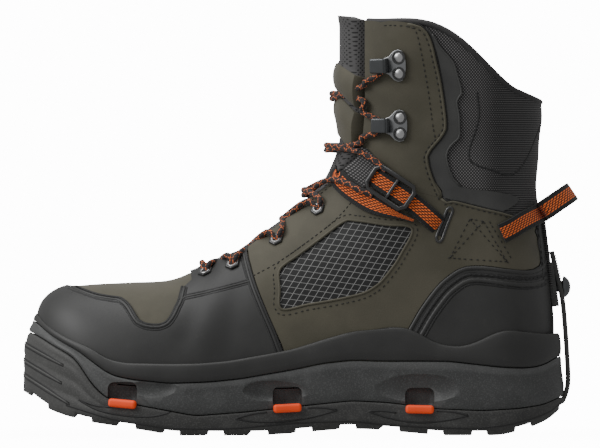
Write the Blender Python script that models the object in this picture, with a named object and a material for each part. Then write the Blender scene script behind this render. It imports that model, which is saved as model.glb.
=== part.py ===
"""Wading boot for the left foot, built from its own sections: hollow upper, tongue, sole layers and fittings.

Length runs along X with the toe at +X, the lateral side is +Y and the floor is Z = 0.
Tables give shares of the named sizes below, so a changed size carries through.
"""
import math

import bmesh
import bpy
from mathutils import Matrix, Vector
from mathutils.geometry import intersect_line_line_2d

# Driving sizes
BOOT_LENGTH = 0.320
SEAT_HEIGHT = 0.036
SHAFT_HEIGHT = 0.212
BALL_WIDTH = 0.110
TOE_SWING = 0.008
COLLAR_RISE = 0.0173
UPPER_WALL = 0.0024
GAP = 0.0003
PANEL = 0.0012
WINDOW_PANEL = 0.0008
RUBBER_PANEL = 0.0014
CUP_CLEARANCE = 0.0021
SOLE_MARGIN = 0.002
INSOLE_THICKNESS = 0.004
STRAP_WIDTH = 0.012
STRAP_THICKNESS = 0.0014
LACE_RADIUS = 0.0016
LUG_COUNT = 12
LUG_DEPTH = 0.0026
LUG_SHARE = 0.62
ROUND_END = 0.008

# Upper sections: bottom x, bottom z, top x, top z, lateral and medial half width,
# tuck of the bottom edge, rounding at the bottom and top ends, power of the top rounding
UPPER_SECTIONS = (
    (0.963, 0.024, 0.967, 0.049, 0.000, 0.000, 0.90, 0.50, 1.00, 2.2),
    (0.956, 0.010, 0.969, 0.065, 0.145, 0.145, 0.90, 0.50, 1.00, 2.2),
    (0.943, 0.001, 0.971, 0.135, 0.245, 0.245, 0.93, 0.40, 1.00, 2.3),
    (0.921, -0.007, 0.961, 0.196, 0.336, 0.327, 0.94, 0.40, 1.00, 2.4),
    (0.887, -0.015, 0.928, 0.234, 0.414, 0.395, 0.95, 0.35, 1.00, 2.4),
    (0.847, -0.021, 0.876, 0.246, 0.459, 0.432, 0.96, 0.35, 1.00, 2.4),
    (0.784, -0.029, 0.803, 0.252, 0.486, 0.450, 0.97, 0.30, 1.00, 2.3),
    (0.710, -0.035, 0.725, 0.260, 0.482, 0.441, 0.97, 0.30, 1.00, 2.2),
    (0.637, -0.038, 0.664, 0.302, 0.455, 0.409, 0.97, 0.30, 0.95, 2.1),
    (0.563, -0.038, 0.600, 0.355, 0.423, 0.377, 0.97, 0.30, 0.90, 2.0),
    (0.489, -0.035, 0.541, 0.408, 0.400, 0.355, 0.97, 0.30, 0.85, 2.0),
    (0.406, -0.026, 0.489, 0.469, 0.382, 0.345, 0.97, 0.30, 0.80, 2.0),
    (0.314, -0.018, 0.448, 0.530, 0.373, 0.341, 0.97, 0.30, 0.70, 2.0),
    (0.231, -0.010, 0.426, 0.594, 0.373, 0.345, 0.97, 0.30, 0.60, 2.0),
    (0.157, -0.004, 0.417, 0.639, 0.364, 0.345, 0.93, 0.30, 0.50, 2.0),
    (0.092, 0.001, 0.413, 0.675, 0.355, 0.345, 0.84, 0.28, 0.45, 2.0),
    (0.052, 0.010, 0.411, 0.703, 0.350, 0.345, 0.62, 0.28, 0.42, 2.0),
    (0.035, 0.021, 0.411, 0.728, 0.345, 0.345, 0.00, 0.25, 0.40, 2.0),
    (0.028, 0.065, 0.411, 0.753, 0.345, 0.345, 0.00, 0.27, 0.38, 2.0),
    (0.026, 0.135, 0.411, 0.778, 0.345, 0.345, 0.00, 0.28, 0.38, 2.0),
    (0.030, 0.218, 0.411, 0.803, 0.345, 0.345, 0.00, 0.30, 0.38, 2.0),
    (0.037, 0.310, 0.411, 0.831, 0.345, 0.345, 0.00, 0.32, 0.38, 2.0),
    (0.044, 0.394, 0.411, 0.859, 0.350, 0.350, 0.00, 0.35, 0.39, 2.0),
    (0.050, 0.483, 0.411, 0.889, 0.355, 0.355, 0.00, 0.38, 0.40, 2.0),
    (0.050, 0.566, 0.411, 0.920, 0.364, 0.364, 0.00, 0.40, 0.41, 2.0),
    (0.046, 0.641, 0.411, 0.950, 0.373, 0.373, 0.00, 0.42, 0.42, 2.0),
    (0.042, 0.705, 0.411, 0.975, 0.382, 0.382, 0.00, 0.44, 0.43, 2.0),
    (0.044, 0.756, 0.410, 0.995, 0.386, 0.386, 0.00, 0.45, 0.44, 2.0),
)
LAST_SECTION = len(UPPER_SECTIONS) - 1
THROAT_START = 7
BACK_SEAM_START = 17
HUMP_START = 16

# Side-view outlines: share of the length from the heel, share of the shaft height above the seat
THROAT = (
    (0.725, 0.262), (0.681, 0.285), (0.666, 0.299), (0.587, 0.344), (0.520, 0.416), (0.482, 0.469),
    (0.443, 0.511), (0.406, 0.561), (0.382, 0.600), (0.371, 0.650), (0.367, 0.733), (0.367, 1.10),
)
TOE_CAP = (
    (0.911, 0.243), (0.860, 0.217), (0.817, 0.206), (0.803, 0.189), (0.784, 0.146), (0.762, 0.135),
    (0.734, 0.143), (0.718, 0.182), (0.705, 0.238), (0.688, 0.262), (0.688, 0.340), (0.587, 0.400),
    (0.587, 0.341), (0.581, 0.299), (0.570, 0.243), (0.552, 0.174), (0.520, 0.060), (0.500, -0.06),
    (1.02, -0.06), (1.02, 0.20), (0.960, 0.262),
)
QUARTER = (
    (0.584, 0.400), (0.584, 0.341), (0.578, 0.299), (0.567, 0.243), (0.549, 0.174), (0.517, 0.060),
    (0.497, -0.06), (0.220, -0.06), (0.200, 0.150), (-0.05, 0.26), (-0.05, 0.40), (0.050, 0.416),
    (0.120, 0.447), (0.190, 0.474), (0.208, 0.480), (0.225, 0.469), (0.300, 0.510), (0.420, 0.530), (0.470, 0.560),
)
WINDOW = (
    (0.527, 0.282), (0.498, 0.320), (0.452, 0.371), (0.407, 0.421), (0.386, 0.424), (0.283, 0.402),
    (0.304, 0.330), (0.339, 0.256), (0.371, 0.224), (0.428, 0.203), (0.523, 0.178), (0.526, 0.232),
)
COUNTER = (
    (0.300, -0.06), (0.300, 0.100), (0.288, 0.127), (0.269, 0.177), (0.231, 0.252), (0.199, 0.288),
    (0.184, 0.296), (0.152, 0.298), (0.076, 0.285), (0.048, 0.299), (0.043, 0.349), (0.050, 0.414),
    (-0.05, 0.416), (-0.05, 0.048), (0.070, 0.048), (0.120, -0.06),
)
SHAFT_PANEL = (
    (0.340, 0.967), (0.323, 0.975), (0.290, 0.968), (0.268, 0.960), (0.255, 0.945), (0.245, 0.911),
    (0.231, 0.822), (0.220, 0.705), (0.220, 0.678), (0.231, 0.650), (0.247, 0.622), (0.254, 0.602),
    (0.251, 0.572), (0.242, 0.533), (0.228, 0.490), (0.300, 0.520), (0.418, 0.542), (0.450, 0.560),
    (0.450, 0.967),
)
GUSSET = (
    (0.252, 0.930), (0.242, 0.911), (0.228, 0.822), (0.217, 0.705), (0.217, 0.678), (0.228, 0.648),
    (0.244, 0.620), (0.251, 0.602), (0.248, 0.572), (0.239, 0.533), (0.225, 0.493), (0.194, 0.495),
    (0.207, 0.538), (0.216, 0.572), (0.220, 0.608), (0.212, 0.633), (0.197, 0.655), (0.196, 0.678),
    (0.197, 0.719), (0.201, 0.756), (0.192, 0.778), (0.194, 0.795), (0.201, 0.831), (0.208, 0.864),
    (0.232, 0.895),
)

# Lean of the toe's wrap, from a start to a span above it in shares of the seat height
TOE_LEAN, LEAN_START, LEAN_SPAN = 0.0065, 1.35, 0.66
# Sole plan: share of the length, lateral and medial half width as shares of the ball width
SOLE_PLAN = (
    (0.00, 0.300, 0.300), (0.05, 0.338, 0.338), (0.10, 0.370, 0.370), (0.20, 0.402, 0.402),
    (0.35, 0.390, 0.370), (0.50, 0.418, 0.373), (0.60, 0.464, 0.418), (0.70, 0.518, 0.473),
    (0.78, 0.527, 0.491), (0.85, 0.500, 0.473), (0.92, 0.450, 0.441), (0.96, 0.418, 0.418),
    (1.00, 0.382, 0.382),
)
# Sole heights along the length, as shares of the seat height
OUTSOLE_TOP = (
    (0.000, 0.664), (0.039, 0.500), (0.089, 0.434), (0.153, 0.402), (0.242, 0.434), (0.323, 0.533),
    (0.393, 0.565), (0.483, 0.483), (0.585, 0.385), (0.681, 0.320), (0.764, 0.459), (0.843, 0.598),
    (0.871, 0.828), (0.900, 1.254), (0.930, 1.401), (0.9735, 1.614), (1.000, 1.700),
)
LUG_BASE = (
    (0.000, 0.598), (0.024, 0.467), (0.057, 0.303), (0.120, 0.166), (0.185, 0.110), (0.268, 0.098),
    (0.387, 0.172), (0.544, 0.107), (0.620, 0.098), (0.729, 0.115), (0.814, 0.262), (0.876, 0.350),
    (0.932, 0.395), (0.969, 0.560), (1.000, 0.750),
)
TREAD = (
    (0.000, 0.533), (0.028, 0.270), (0.068, 0.115), (0.120, 0.000), (0.231, 0.000), (0.304, 0.057),
    (0.356, 0.098), (0.397, 0.107), (0.443, 0.082), (0.489, 0.041), (0.563, 0.000), (0.721, 0.000),
    (0.766, 0.074), (0.803, 0.123), (0.876, 0.221), (0.923, 0.328), (0.954, 0.434), (1.000, 0.740),
)
BAND_LOW = (
    (0.000, 1.352), (0.042, 1.132), (0.074, 1.090), (0.120, 1.106), (0.216, 1.205), (0.341, 1.205),
    (0.393, 1.221), (0.446, 1.172), (0.498, 1.073), (0.600, 0.918), (0.655, 0.869), (0.727, 0.847),
    (0.799, 0.910), (0.836, 0.985), (0.860, 1.131), (0.897, 1.385), (0.9466, 1.614), (0.990, 1.860),
    (1.000, 1.900),
)
BAND_TOP = (
    (0.000, 1.663), (0.042, 1.650), (0.108, 1.721), (0.133, 1.663), (0.159, 1.541), (0.185, 1.459),
    (0.208, 1.450), (0.238, 1.500), (0.262, 1.622), (0.288, 1.745), (0.314, 1.770), (0.386, 1.713),
    (0.445, 1.565), (0.502, 1.405), (0.548, 1.326), (0.620, 1.213), (0.673, 1.172), (0.729, 1.165),
    (0.814, 1.182), (0.847, 1.262), (0.871, 1.418), (0.916, 1.582), (0.958, 1.770), (0.9955, 2.000),
    (1.000, 2.020),
)

EYELETS = ((0.661, 0.277), (0.611, 0.299), (0.531, 0.369), (0.454, 0.455))
HOOKS = ((0.316, 0.855), (0.314, 0.688))
TABS = (0.8145, 0.512, 0.269)
TAB_HEIGHTS = (0.520, 0.445, 0.425)
TAB_TILTS = (0.09, -0.05, 0.02)
# Lace crossings: section, lift of the ends over the upper
LACE_CRESTS = ((8.05, 0.0024), (8.75, 0.0031), (9.65, 0.0040), (10.75, 0.0040), (11.75, 0.0040),
               (15.2, 0.0050), (21.4, 0.0050))
LACE_LIFT = 0.0086
# Heel strap: x as a share of the length, height as shares of the seat height and of the shaft height
HEEL_STRAP = ((-0.0019, 0.625, 0.0), (0.0013, 1.111, 0.0), (0.0069, 1.389, 0.0), (0.0125, 1.667, 0.0),
              (0.0175, 1.0, 0.198), (0.0238, 1.0, 0.264), (0.0300, 1.0, 0.335))
KNOB_SHARE = 0.2406
WINDOW_LENGTH = 0.0165
WINDOW_HEIGHT = 0.0085
WINDOW_DEPTH = 0.0018


def lerp(a, b, t):
    return a + (b - a) * t


def smooth(low, high, value):
    t = min(max((value - low) / (high - low), 0.0), 1.0)
    return t * t * (3 - 2 * t)


def table(rows, position, column=1):
    """Straight interpolation of one column of a table over its first column."""
    position = max(position, ROUND_END)
    for before, after in zip(rows, rows[1:]):
        if position <= after[0]:
            return lerp(before[column], after[column], (position - before[0]) / (after[0] - before[0]))
    return rows[-1][column]


def section_value(column, s):
    """Smooth curve through one column of the section table."""
    i = min(int(s), LAST_SECTION - 1)
    t = s - i
    row = [UPPER_SECTIONS[min(max(k, 0), LAST_SECTION)][column] for k in range(i - 1, i + 3)]
    a = 2 * row[1]
    b = row[2] - row[0]
    c = 2 * row[0] - 5 * row[1] + 4 * row[2] - row[3]
    d = 3 * row[1] - row[0] - 3 * row[2] + row[3]
    return 0.5 * (a + b * t + c * t * t + d * t ** 3)


def side_point(u, v):
    """X and Z of a side-view share."""
    return u * BOOT_LENGTH, SEAT_HEIGHT + v * SHAFT_HEIGHT


def centre_line(u):
    return -TOE_SWING * smooth(0.55, 1.0, u)


def upper_point(s, w, side):
    """Point of the upper's outer form: s counts sections from toe to collar, w runs from sole to lace line."""
    u = lerp(section_value(0, s), section_value(2, s), w)
    v = lerp(section_value(1, s), section_value(3, s), w)
    half = section_value(4 if side > 0 else 5, s) * BALL_WIDTH
    start = min(max(section_value(6, s), 0.0), 1.0) if s < BACK_SEAM_START else 0.0
    low = min(w / section_value(7, s), 1.0)
    high = min((1 - w) / section_value(8, s), 1.0)
    power = section_value(9, s)
    foot = start + (1 - start) * math.sqrt(max(1 - (1 - low) ** 2, 0.0))
    crown = max(1 - (1 - high) ** power, 0.0) ** (1 / power)
    rise_at = max((w - 0.13) / 0.87, 0.0)
    rise = COLLAR_RISE * smooth(HUMP_START, LAST_SECTION, s) * math.sin(math.pi * rise_at ** 0.85) ** 1.8 \
        if 0 < rise_at < 1 else 0.0
    x, z = side_point(u, v)
    return Vector((x, side * half * foot * crown + centre_line(u), z + rise))


def throat_share(s):
    """Share w at which a section meets the throat's edge in the side view."""
    if s <= THROAT_START:
        return 1.0
    foot = Vector((section_value(0, s), section_value(1, s)))
    top = Vector((section_value(2, s), section_value(3, s)))
    beyond = foot + (top - foot) * 1.02
    for a, b in zip(THROAT, THROAT[1:]):
        hit = intersect_line_line_2d(foot, beyond, Vector(a), Vector(b))
        if hit:
            return min((hit - foot).length / (top - foot).length, 1.0)
    return 1.0


def column_share(t, s):
    """Columns crowd at the lace line on the foot, and at both ends on the shaft."""
    top_dense = 1 - (1 - t) ** 1.5
    both_dense = (1 - math.cos(math.pi * t)) / 2
    return lerp(top_dense, both_dense, smooth(11, 17, s))


class Sheet:
    """A grid sheet on the upper's form, with a normal at every point."""

    def __init__(self, stations, shares):
        self.points = []
        self.params = []
        self.faces = []
        found = {}
        grids = {}
        for side in (1, -1):
            rows = []
            for s in stations:
                row = []
                for w in shares(s):
                    point = upper_point(s, w, side)
                    key = tuple(round(value, 5) for value in point)
                    if key not in found:
                        found[key] = len(self.points)
                        self.points.append(point)
                        self.params.append((s, w, side))
                    row.append(found[key])
                rows.append(row)
            grids[side] = rows
            for upper_row, lower_row in zip(rows, rows[1:]):
                for j in range(len(upper_row) - 1):
                    a, b, c, d = upper_row[j], upper_row[j + 1], lower_row[j + 1], lower_row[j]
                    for ring in ((a, b, d), (b, c, d)):
                        if len(set(ring)) == 3:
                            self.faces.append(ring if side > 0 else ring[::-1])
        self.grids = grids
        bm = bmesh.new()
        verts = [bm.verts.new(p) for p in self.points]
        for face in self.faces:
            bm.faces.new([verts[k] for k in face])
        bm.normal_update()
        sign = 1.0
        probe = max(range(len(self.points)), key=lambda k: self.points[k].y)
        if verts[probe].normal.y < 0:
            sign = -1.0
        self.normals = [v.normal * sign for v in verts]
        bm.free()

    def shifted(self, offset):
        amounts = [offset(*p) if callable(offset) else offset for p in self.params]
        return [p + n * a for p, n, a in zip(self.points, self.normals, amounts)]

    def solid(self, inner, outer):
        """Closed mesh between two offsets of the sheet."""
        bm = bmesh.new()
        low = [bm.verts.new(p) for p in self.shifted(inner)]
        high = [bm.verts.new(p) for p in self.shifted(outer)]
        for face in self.faces:
            bm.faces.new([high[k] for k in face])
            bm.faces.new([low[k] for k in reversed(face)])
        used = {}
        for face in self.faces:
            for a, b in zip(face, face[1:] + face[:1]):
                used[(a, b)] = True
        for a, b in used:
            if (b, a) not in used:
                bm.faces.new((high[b], high[a], low[a], low[b]))
        return bm


def locate(u, v):
    """Section and share at which the upper's form shows at a side-view share."""
    best = None
    for i in range(LAST_SECTION * 10 + 1):
        s = i / 10
        foot = Vector((section_value(0, s), section_value(1, s)))
        top = Vector((section_value(2, s), section_value(3, s)))
        along = top - foot
        w = min(max((Vector((u, v)) - foot).dot(along) / along.length_squared, 0.0), 1.0)
        point = upper_point(s, w, 1)
        x, z = side_point(u, v)
        away = math.hypot(point.x - x, point.z - z)
        if best is None or away < best[0]:
            best = (away, s, w)
    return best[1], best[2]


def surface(u, v, side, offset):
    """Point and normal on the upper at a side-view share, lifted by an offset."""
    s, w = locate(u, v)
    step = 0.02
    s0, s1 = max(s - step * 5, 0), min(s + step * 5, LAST_SECTION)
    w0, w1 = max(w - step, 0.0), min(w + step, 1.0)
    along = upper_point(s1, w, side) - upper_point(s0, w, side)
    across = upper_point(s, w1, side) - upper_point(s, w0, side)
    normal = along.cross(across).normalized()
    if normal.y * side < 0:
        normal = -normal
    return upper_point(s, w, side) + normal * offset, normal


MATERIALS = {
    "olive_fabric": ((0.120, 0.108, 0.072), 0.80, 0.0),
    "dark_fabric": ((0.030, 0.028, 0.028), 0.85, 0.0),
    "dark_mesh": ((0.022, 0.022, 0.022), 0.75, 0.0),
    "smooth_rubber": ((0.037, 0.037, 0.036), 0.50, 0.0),
    "sole_rubber": ((0.090, 0.090, 0.088), 0.70, 0.0),
    "frame_rubber": ((0.037, 0.039, 0.038), 0.60, 0.0),
    "orange_plastic": ((0.90, 0.110, 0.016), 0.45, 0.0),
    "black_plastic": ((0.012, 0.012, 0.012), 0.35, 0.0),
    "gunmetal": ((0.090, 0.092, 0.095), 0.35, 0.9),
    "webbing": ((0.300, 0.070, 0.025), 0.85, 0.0),
    "lace_cord": ((0.020, 0.019, 0.020), 0.80, 0.0),
}


def material(name):
    if name in bpy.data.materials:
        return bpy.data.materials[name]
    color, roughness, metallic = MATERIALS[name]
    mat = bpy.data.materials.new(name)
    mat.use_nodes = True
    shader = mat.node_tree.nodes["Principled BSDF"]
    shader.inputs["Base Color"].default_value = (*color, 1.0)
    shader.inputs["Roughness"].default_value = roughness
    shader.inputs["Metallic"].default_value = metallic
    return mat


def add(name, bm, slot, rounded=True):
    """One named object from a bmesh, under the boot's root."""
    bmesh.ops.recalc_face_normals(bm, faces=bm.faces)
    mesh = bpy.data.meshes.new(name)
    bm.to_mesh(mesh)
    bm.free()
    mesh.shade_smooth() if rounded else mesh.shade_flat()
    obj = bpy.data.objects.new(name, mesh)
    bpy.context.collection.objects.link(obj)
    obj.data.materials.append(material(slot))
    obj.parent = root
    return obj


def cut(obj, tool, operation):
    """Exact boolean with a bmesh tool, applied at once."""
    bmesh.ops.recalc_face_normals(tool, faces=tool.faces)
    mesh = bpy.data.meshes.new("tool")
    tool.to_mesh(mesh)
    tool.free()
    cutter = bpy.data.objects.new("tool", mesh)
    bpy.context.collection.objects.link(cutter)
    mod = obj.modifiers.new("cut", "BOOLEAN")
    mod.operation = operation
    mod.solver = "EXACT"
    mod.object = cutter
    graph = bpy.context.evaluated_depsgraph_get()
    result = bpy.data.meshes.new_from_object(obj.evaluated_get(graph))
    obj.modifiers.clear()
    old = obj.data
    obj.data = result
    result.name = obj.name
    bpy.data.meshes.remove(old)
    bpy.data.objects.remove(cutter)
    bpy.data.meshes.remove(mesh)
    bm = bmesh.new()
    bm.from_mesh(obj.data)
    bmesh.ops.remove_doubles(bm, verts=bm.verts, dist=0.00005)
    bmesh.ops.dissolve_degenerate(bm, dist=0.00005, edges=bm.edges)
    bm.to_mesh(obj.data)
    bm.free()


def prism(outline, y_low, y_high, grow=0.0):
    """Side-view outline run through the boot from one Y to another, grown outwards by a distance."""
    flat = [Vector(side_point(u, v)) for u, v in outline]
    area = sum(a.x * b.y - b.x * a.y for a, b in zip(flat, flat[1:] + flat[:1]))
    turn = 1.0 if area > 0 else -1.0
    grown = []
    for i, point in enumerate(flat):
        before = (point - flat[i - 1]).normalized()
        after = (flat[(i + 1) % len(flat)] - point).normalized()
        normal = Vector((before.y + after.y, -before.x - after.x)).normalized()
        stretch = 1 / max(normal.dot(Vector((after.y, -after.x))), 0.5)
        grown.append(point + normal * turn * grow * stretch)
    bm = bmesh.new()
    low = [bm.verts.new((p.x, y_low, p.y)) for p in grown]
    high = [bm.verts.new((p.x, y_high, p.y)) for p in grown]
    bm.faces.new(low)
    bm.faces.new(high[::-1])
    count = len(grown)
    for i in range(count):
        bm.faces.new((low[i], high[i], high[(i + 1) % count], low[(i + 1) % count]))
    return bm


def stations(first, last, step=1.0):
    count = int(round((last - first) / step))
    return [first + (last - first) * i / count for i in range(count + 1)]


UPPER_STATIONS = [0.0, 0.5] + stations(1, 7) + [7.5] + stations(8, 17) + stations(18, LAST_SECTION, 1.5)
COLUMNS = 6


def upper_shares(s):
    """Columns of the upper, from the sole's edge to the throat's edge."""
    return [throat_share(s) * column_share(j / COLUMNS, s) for j in range(COLUMNS + 1)]


def form_shares(s):
    """The upper's columns and one more at the lace line."""
    return upper_shares(s) + [1.0]


def sole_half(u, side):
    """Half width of the sole at a share of the length, with round heel and toe."""
    width = table(SOLE_PLAN, u, 1 if side > 0 else 2) * BALL_WIDTH + SOLE_MARGIN
    heel = 1 - (1 - min(u / 0.13, 1.0)) ** 2.2
    toe = 1 - (1 - min((1 - u) / 0.16, 1.0)) ** 2.2
    return width * (max(heel, 0.0) * max(toe, 0.0)) ** (1 / 2.2)


def toe_lean(u, z):
    """How far the toe's wrap leans back at a height."""
    rise = max(z / SEAT_HEIGHT - LEAN_START, 0.0) / LEAN_SPAN
    return TOE_LEAN * rise ** 1.5 * smooth(0.88, 1.0, u)


SOLE_ENDS = (0.0012, ROUND_END, 0.020, 0.070, 0.9466, 0.958, 0.9735, 0.985, 0.990, 0.9955, 0.9988)


def sole_stations(*tables):
    """Shares of the length at which the given height lines turn, with the round ends."""
    marks = {round(row[0], 4) for rows in tables for row in rows if SOLE_ENDS[0] < row[0] < SOLE_ENDS[-1]}
    return sorted(marks | set(SOLE_ENDS))


def layer(shares, section):
    """Closed loft of a sole layer: section gives a ring of (y, z, inset) at a share of the length."""
    bm = bmesh.new()
    rings = []
    for u in shares:
        ring = []
        for y, z, inset in section(u):
            x = min(max(u * BOOT_LENGTH, inset), BOOT_LENGTH - inset) - toe_lean(u, z)
            ring.append(bm.verts.new((x, y + centre_line(u), z)))
        rings.append(ring)
    for a, b in zip(rings, rings[1:]):
        for i in range(len(a)):
            k = (i + 1) % len(a)
            bm.faces.new((a[i], a[k], b[k], b[i]))
    bm.faces.new(rings[0][::-1])
    bm.faces.new(rings[-1])
    return bm


def side_ring(u, levels):
    """Ring of a layer whose side runs through levels of (height, inset)."""
    right = [(max(sole_half(u, 1) - inset, 0.0015), z, inset) for z, inset in levels]
    left = [(min(inset - sole_half(u, -1), -0.0015), z, inset) for z, inset in reversed(levels)]
    return right + left


def foot_form(offset):
    """Closed block of the upper's outer form, which hollows the sole's cup."""
    top = 20
    sheet = Sheet([s for s in UPPER_STATIONS if s < top] + [top], form_shares)
    seat_play = Vector((0, 0, 0.0008))
    points = [p if w > 0 else p - seat_play for p, (s, w, side) in zip(sheet.shifted(offset), sheet.params)]
    bm = bmesh.new()
    verts = [bm.verts.new(p) for p in points]
    for face in sheet.faces:
        bm.faces.new([verts[k] for k in face])
    lateral, medial = sheet.grids[1], sheet.grids[-1]
    for i in range(len(lateral) - 1):
        ring = [lateral[i][0], lateral[i + 1][0], medial[i + 1][0], medial[i][0]]
        ring = [k for n, k in enumerate(ring) if k != ring[n - 1]]
        if len(ring) > 2:
            bm.faces.new([verts[k] for k in ring])
    rim = lateral[-1] + medial[-1][::-1]
    rim = [k for n, k in enumerate(rim) if k != rim[n - 1]]
    bm.faces.new([verts[k] for k in rim])
    return bm


def make_outsole():
    pitch = 0.97 / LUG_COUNT
    shares = []
    for i in range(LUG_COUNT):
        start = 0.012 + i * pitch
        end = start + pitch * LUG_SHARE
        shares += [(start - 0.003, 0.0), (start, 1.0), (end, 1.0), (end + 0.003, 0.0)]
    edges = [share for share, _ in shares]
    for share in sole_stations(OUTSOLE_TOP):
        if min(abs(share - edge) for edge in edges) > 0.001:
            inside = any(a[0] < share < b[0] for a, b in zip(shares[1::4], shares[2::4]))
            shares.append((share, 1.0 if inside else 0.0))
    plan = sorted(shares)
    on_lug = dict(plan)

    def section(u):
        low = min(table(TREAD, u), table(LUG_BASE, u)) * SEAT_HEIGHT
        floor = low + LUG_DEPTH
        tread = lerp(floor, low, on_lug[u])
        top = table(OUTSOLE_TOP, u) * SEAT_HEIGHT - GAP / 2
        toe = smooth(0.80, 0.90, u)
        groove = 0.0012 * toe
        levels = [
            (lerp(floor, top, 0.30), 0.0004),
            (lerp(floor, top, 0.55), groove + 0.0002),
            (top, 0.0010 + 0.0008 * toe),
        ]
        ring = side_ring(u, levels)
        lateral, medial = sole_half(u, 1) - 0.003, sole_half(u, -1) - 0.003
        lateral, medial = max(lateral, 0.001), max(medial, 0.001)
        under = [(-medial, tread, 0.0), (-medial * 0.16, tread, 0.0), (-medial * 0.12, floor, 0.0),
                 (lateral * 0.12, floor, 0.0), (lateral * 0.16, tread, 0.0), (lateral, tread, 0.0)]
        return ring + under

    outsole = add("outsole", layer([u for u, _ in plan], section), "sole_rubber", rounded=False)
    cut(outsole, foot_form(CUP_CLEARANCE), "DIFFERENCE")


def make_sole_frame():
    def section(u):
        low = table(OUTSOLE_TOP, u) * SEAT_HEIGHT + GAP / 2
        high = max(table(BAND_LOW, u) * SEAT_HEIGHT - GAP / 2, low + 0.001)
        heel = 1 - smooth(0.0, 0.08, u)
        toe = smooth(0.80, 0.90, u)
        return side_ring(u, [(low, 0.0010 + 0.0008 * toe), (lerp(low, high, 0.5), 0.0008 + 0.0008 * toe),
                             (high, 0.0010 + 0.0008 * toe + 0.0016 * heel)])

    shares = sole_stations(OUTSOLE_TOP, BAND_LOW)
    frame = add("sole_frame", layer(shares, section), "frame_rubber", rounded=False)
    cut(frame, foot_form(CUP_CLEARANCE), "DIFFERENCE")
    for share, height in zip(TABS, TAB_HEIGHTS):
        for side in (1, -1):
            cut(frame, window_block(share, height, side), "DIFFERENCE")


def window_block(share, height, side):
    """Pocket above a lock tab, cut into the side of the frame."""
    x = share * BOOT_LENGTH
    z = height * SEAT_HEIGHT + WINDOW_HEIGHT * 0.88
    y = side * (sole_half(share, side) + WINDOW_DEPTH) + centre_line(share)
    bm = bmesh.new()
    bmesh.ops.create_cube(bm, size=1.0)
    bmesh.ops.scale(bm, vec=(WINDOW_LENGTH, WINDOW_DEPTH * 4, WINDOW_HEIGHT), verts=bm.verts)
    upright = [e for e in bm.edges if abs(e.verts[0].co.y - e.verts[1].co.y) > 0.001]
    bmesh.ops.bevel(bm, geom=upright, offset=0.0028, segments=3, affect="EDGES", profile=0.5)
    bmesh.ops.translate(bm, vec=(x, y, z), verts=bm.verts)
    return bm


def make_midsole():
    def section(u):
        low = table(BAND_LOW, u) * SEAT_HEIGHT + GAP / 2
        high = max(table(BAND_TOP, u) * SEAT_HEIGHT, low + 0.003)
        heel = 1 - smooth(0.0, 0.08, u)
        toe = smooth(0.80, 0.90, u)
        return side_ring(u, [(low, 0.0010 + 0.0008 * toe + 0.0016 * heel),
                             (lerp(low, high, 0.7), 0.0014 + 0.0006 * toe + 0.0022 * heel),
                             (high, 0.0024 + 0.0010 * toe + 0.0018 * heel)])

    shares = sole_stations(BAND_LOW, BAND_TOP)
    midsole = add("midsole", layer(shares, section), "smooth_rubber", rounded=False)
    cut(midsole, foot_form(CUP_CLEARANCE), "DIFFERENCE")


def make_insole():
    margin = 0.0050
    shares = stations(2.2, 15.4, 0.82)
    bm = bmesh.new()
    rings = []
    for s in shares:
        seat = upper_point(s, 0.0, 1)
        left = upper_point(s, 0.0, -1)
        z = seat.z + GAP
        top = z + INSOLE_THICKNESS
        a, b = seat.y - margin, left.y + margin
        rim = top + 0.002
        rings.append([bm.verts.new(p) for p in (
            (seat.x, b, z), (seat.x, a, z), (seat.x, a, rim), (seat.x, a - 0.004, top),
            (seat.x, b + 0.004, top), (seat.x, b, rim))])
    for a, b in zip(rings, rings[1:]):
        for i in range(6):
            k = (i + 1) % 6
            bm.faces.new((a[i], a[k], b[k], b[i]))
    bm.faces.new(rings[0][::-1])
    bm.faces.new(rings[-1])
    add("insole", bm, "dark_fabric")


def make_upper():
    sheet = Sheet(UPPER_STATIONS, upper_shares)
    add("upper", sheet.solid(-UPPER_WALL, 0.0), "dark_fabric")


def make_tongue():
    """Padded sheet under the throat: tucked below the upper's edges, raised between them."""
    first, tucks, rises = 6.6, (0.13, 0.04), (0.08, 0.35, 0.70, 1.0)
    tuck, padding = UPPER_WALL + 0.0012, 0.0028

    def edge(s):
        return min(throat_share(max(s, 8.0)), 0.985)

    def shares(s):
        return [edge(s) - tuck_in for tuck_in in tucks] + [lerp(edge(s), 1.0, rise) for rise in rises]

    def raised(s, w):
        return smooth(8.4, 10, s) if w > lerp(edge(s), 1.0, 0.2) else 0.0

    def outer(s, w, side):
        under = tuck + 0.0008 * (1 - smooth(8, 9, s))
        return lerp(-under, 0.0002 + 0.0024 * smooth(15, 18, s), raised(s, w))

    def inner(s, w, side):
        return -tuck - 0.0008 - padding - 0.0004 * raised(s, w)

    marks = [first, 7.2, 8.0] + stations(9, 17) + stations(18, LAST_SECTION, 1.5)
    add("tongue", Sheet(marks, shares).solid(inner, outer), "dark_mesh")


def panel(name, outline, slot, low, thickness, side=0, minus=(), grow=0.0):
    """Overlay cut from the space between two offsets of the upper by a side-view outline."""
    sheet = Sheet(UPPER_STATIONS, upper_shares)
    reach = BALL_WIDTH
    y_low, y_high = (-reach, reach) if side == 0 else sorted((side * 0.0006, side * reach))
    obj = add(name, sheet.solid(low, low + thickness), slot)
    cut(obj, prism(outline, y_low, y_high, grow), "INTERSECT")
    for other in minus:
        cut(obj, prism(other, -reach, reach, 0.0006), "DIFFERENCE")
    return obj


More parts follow.
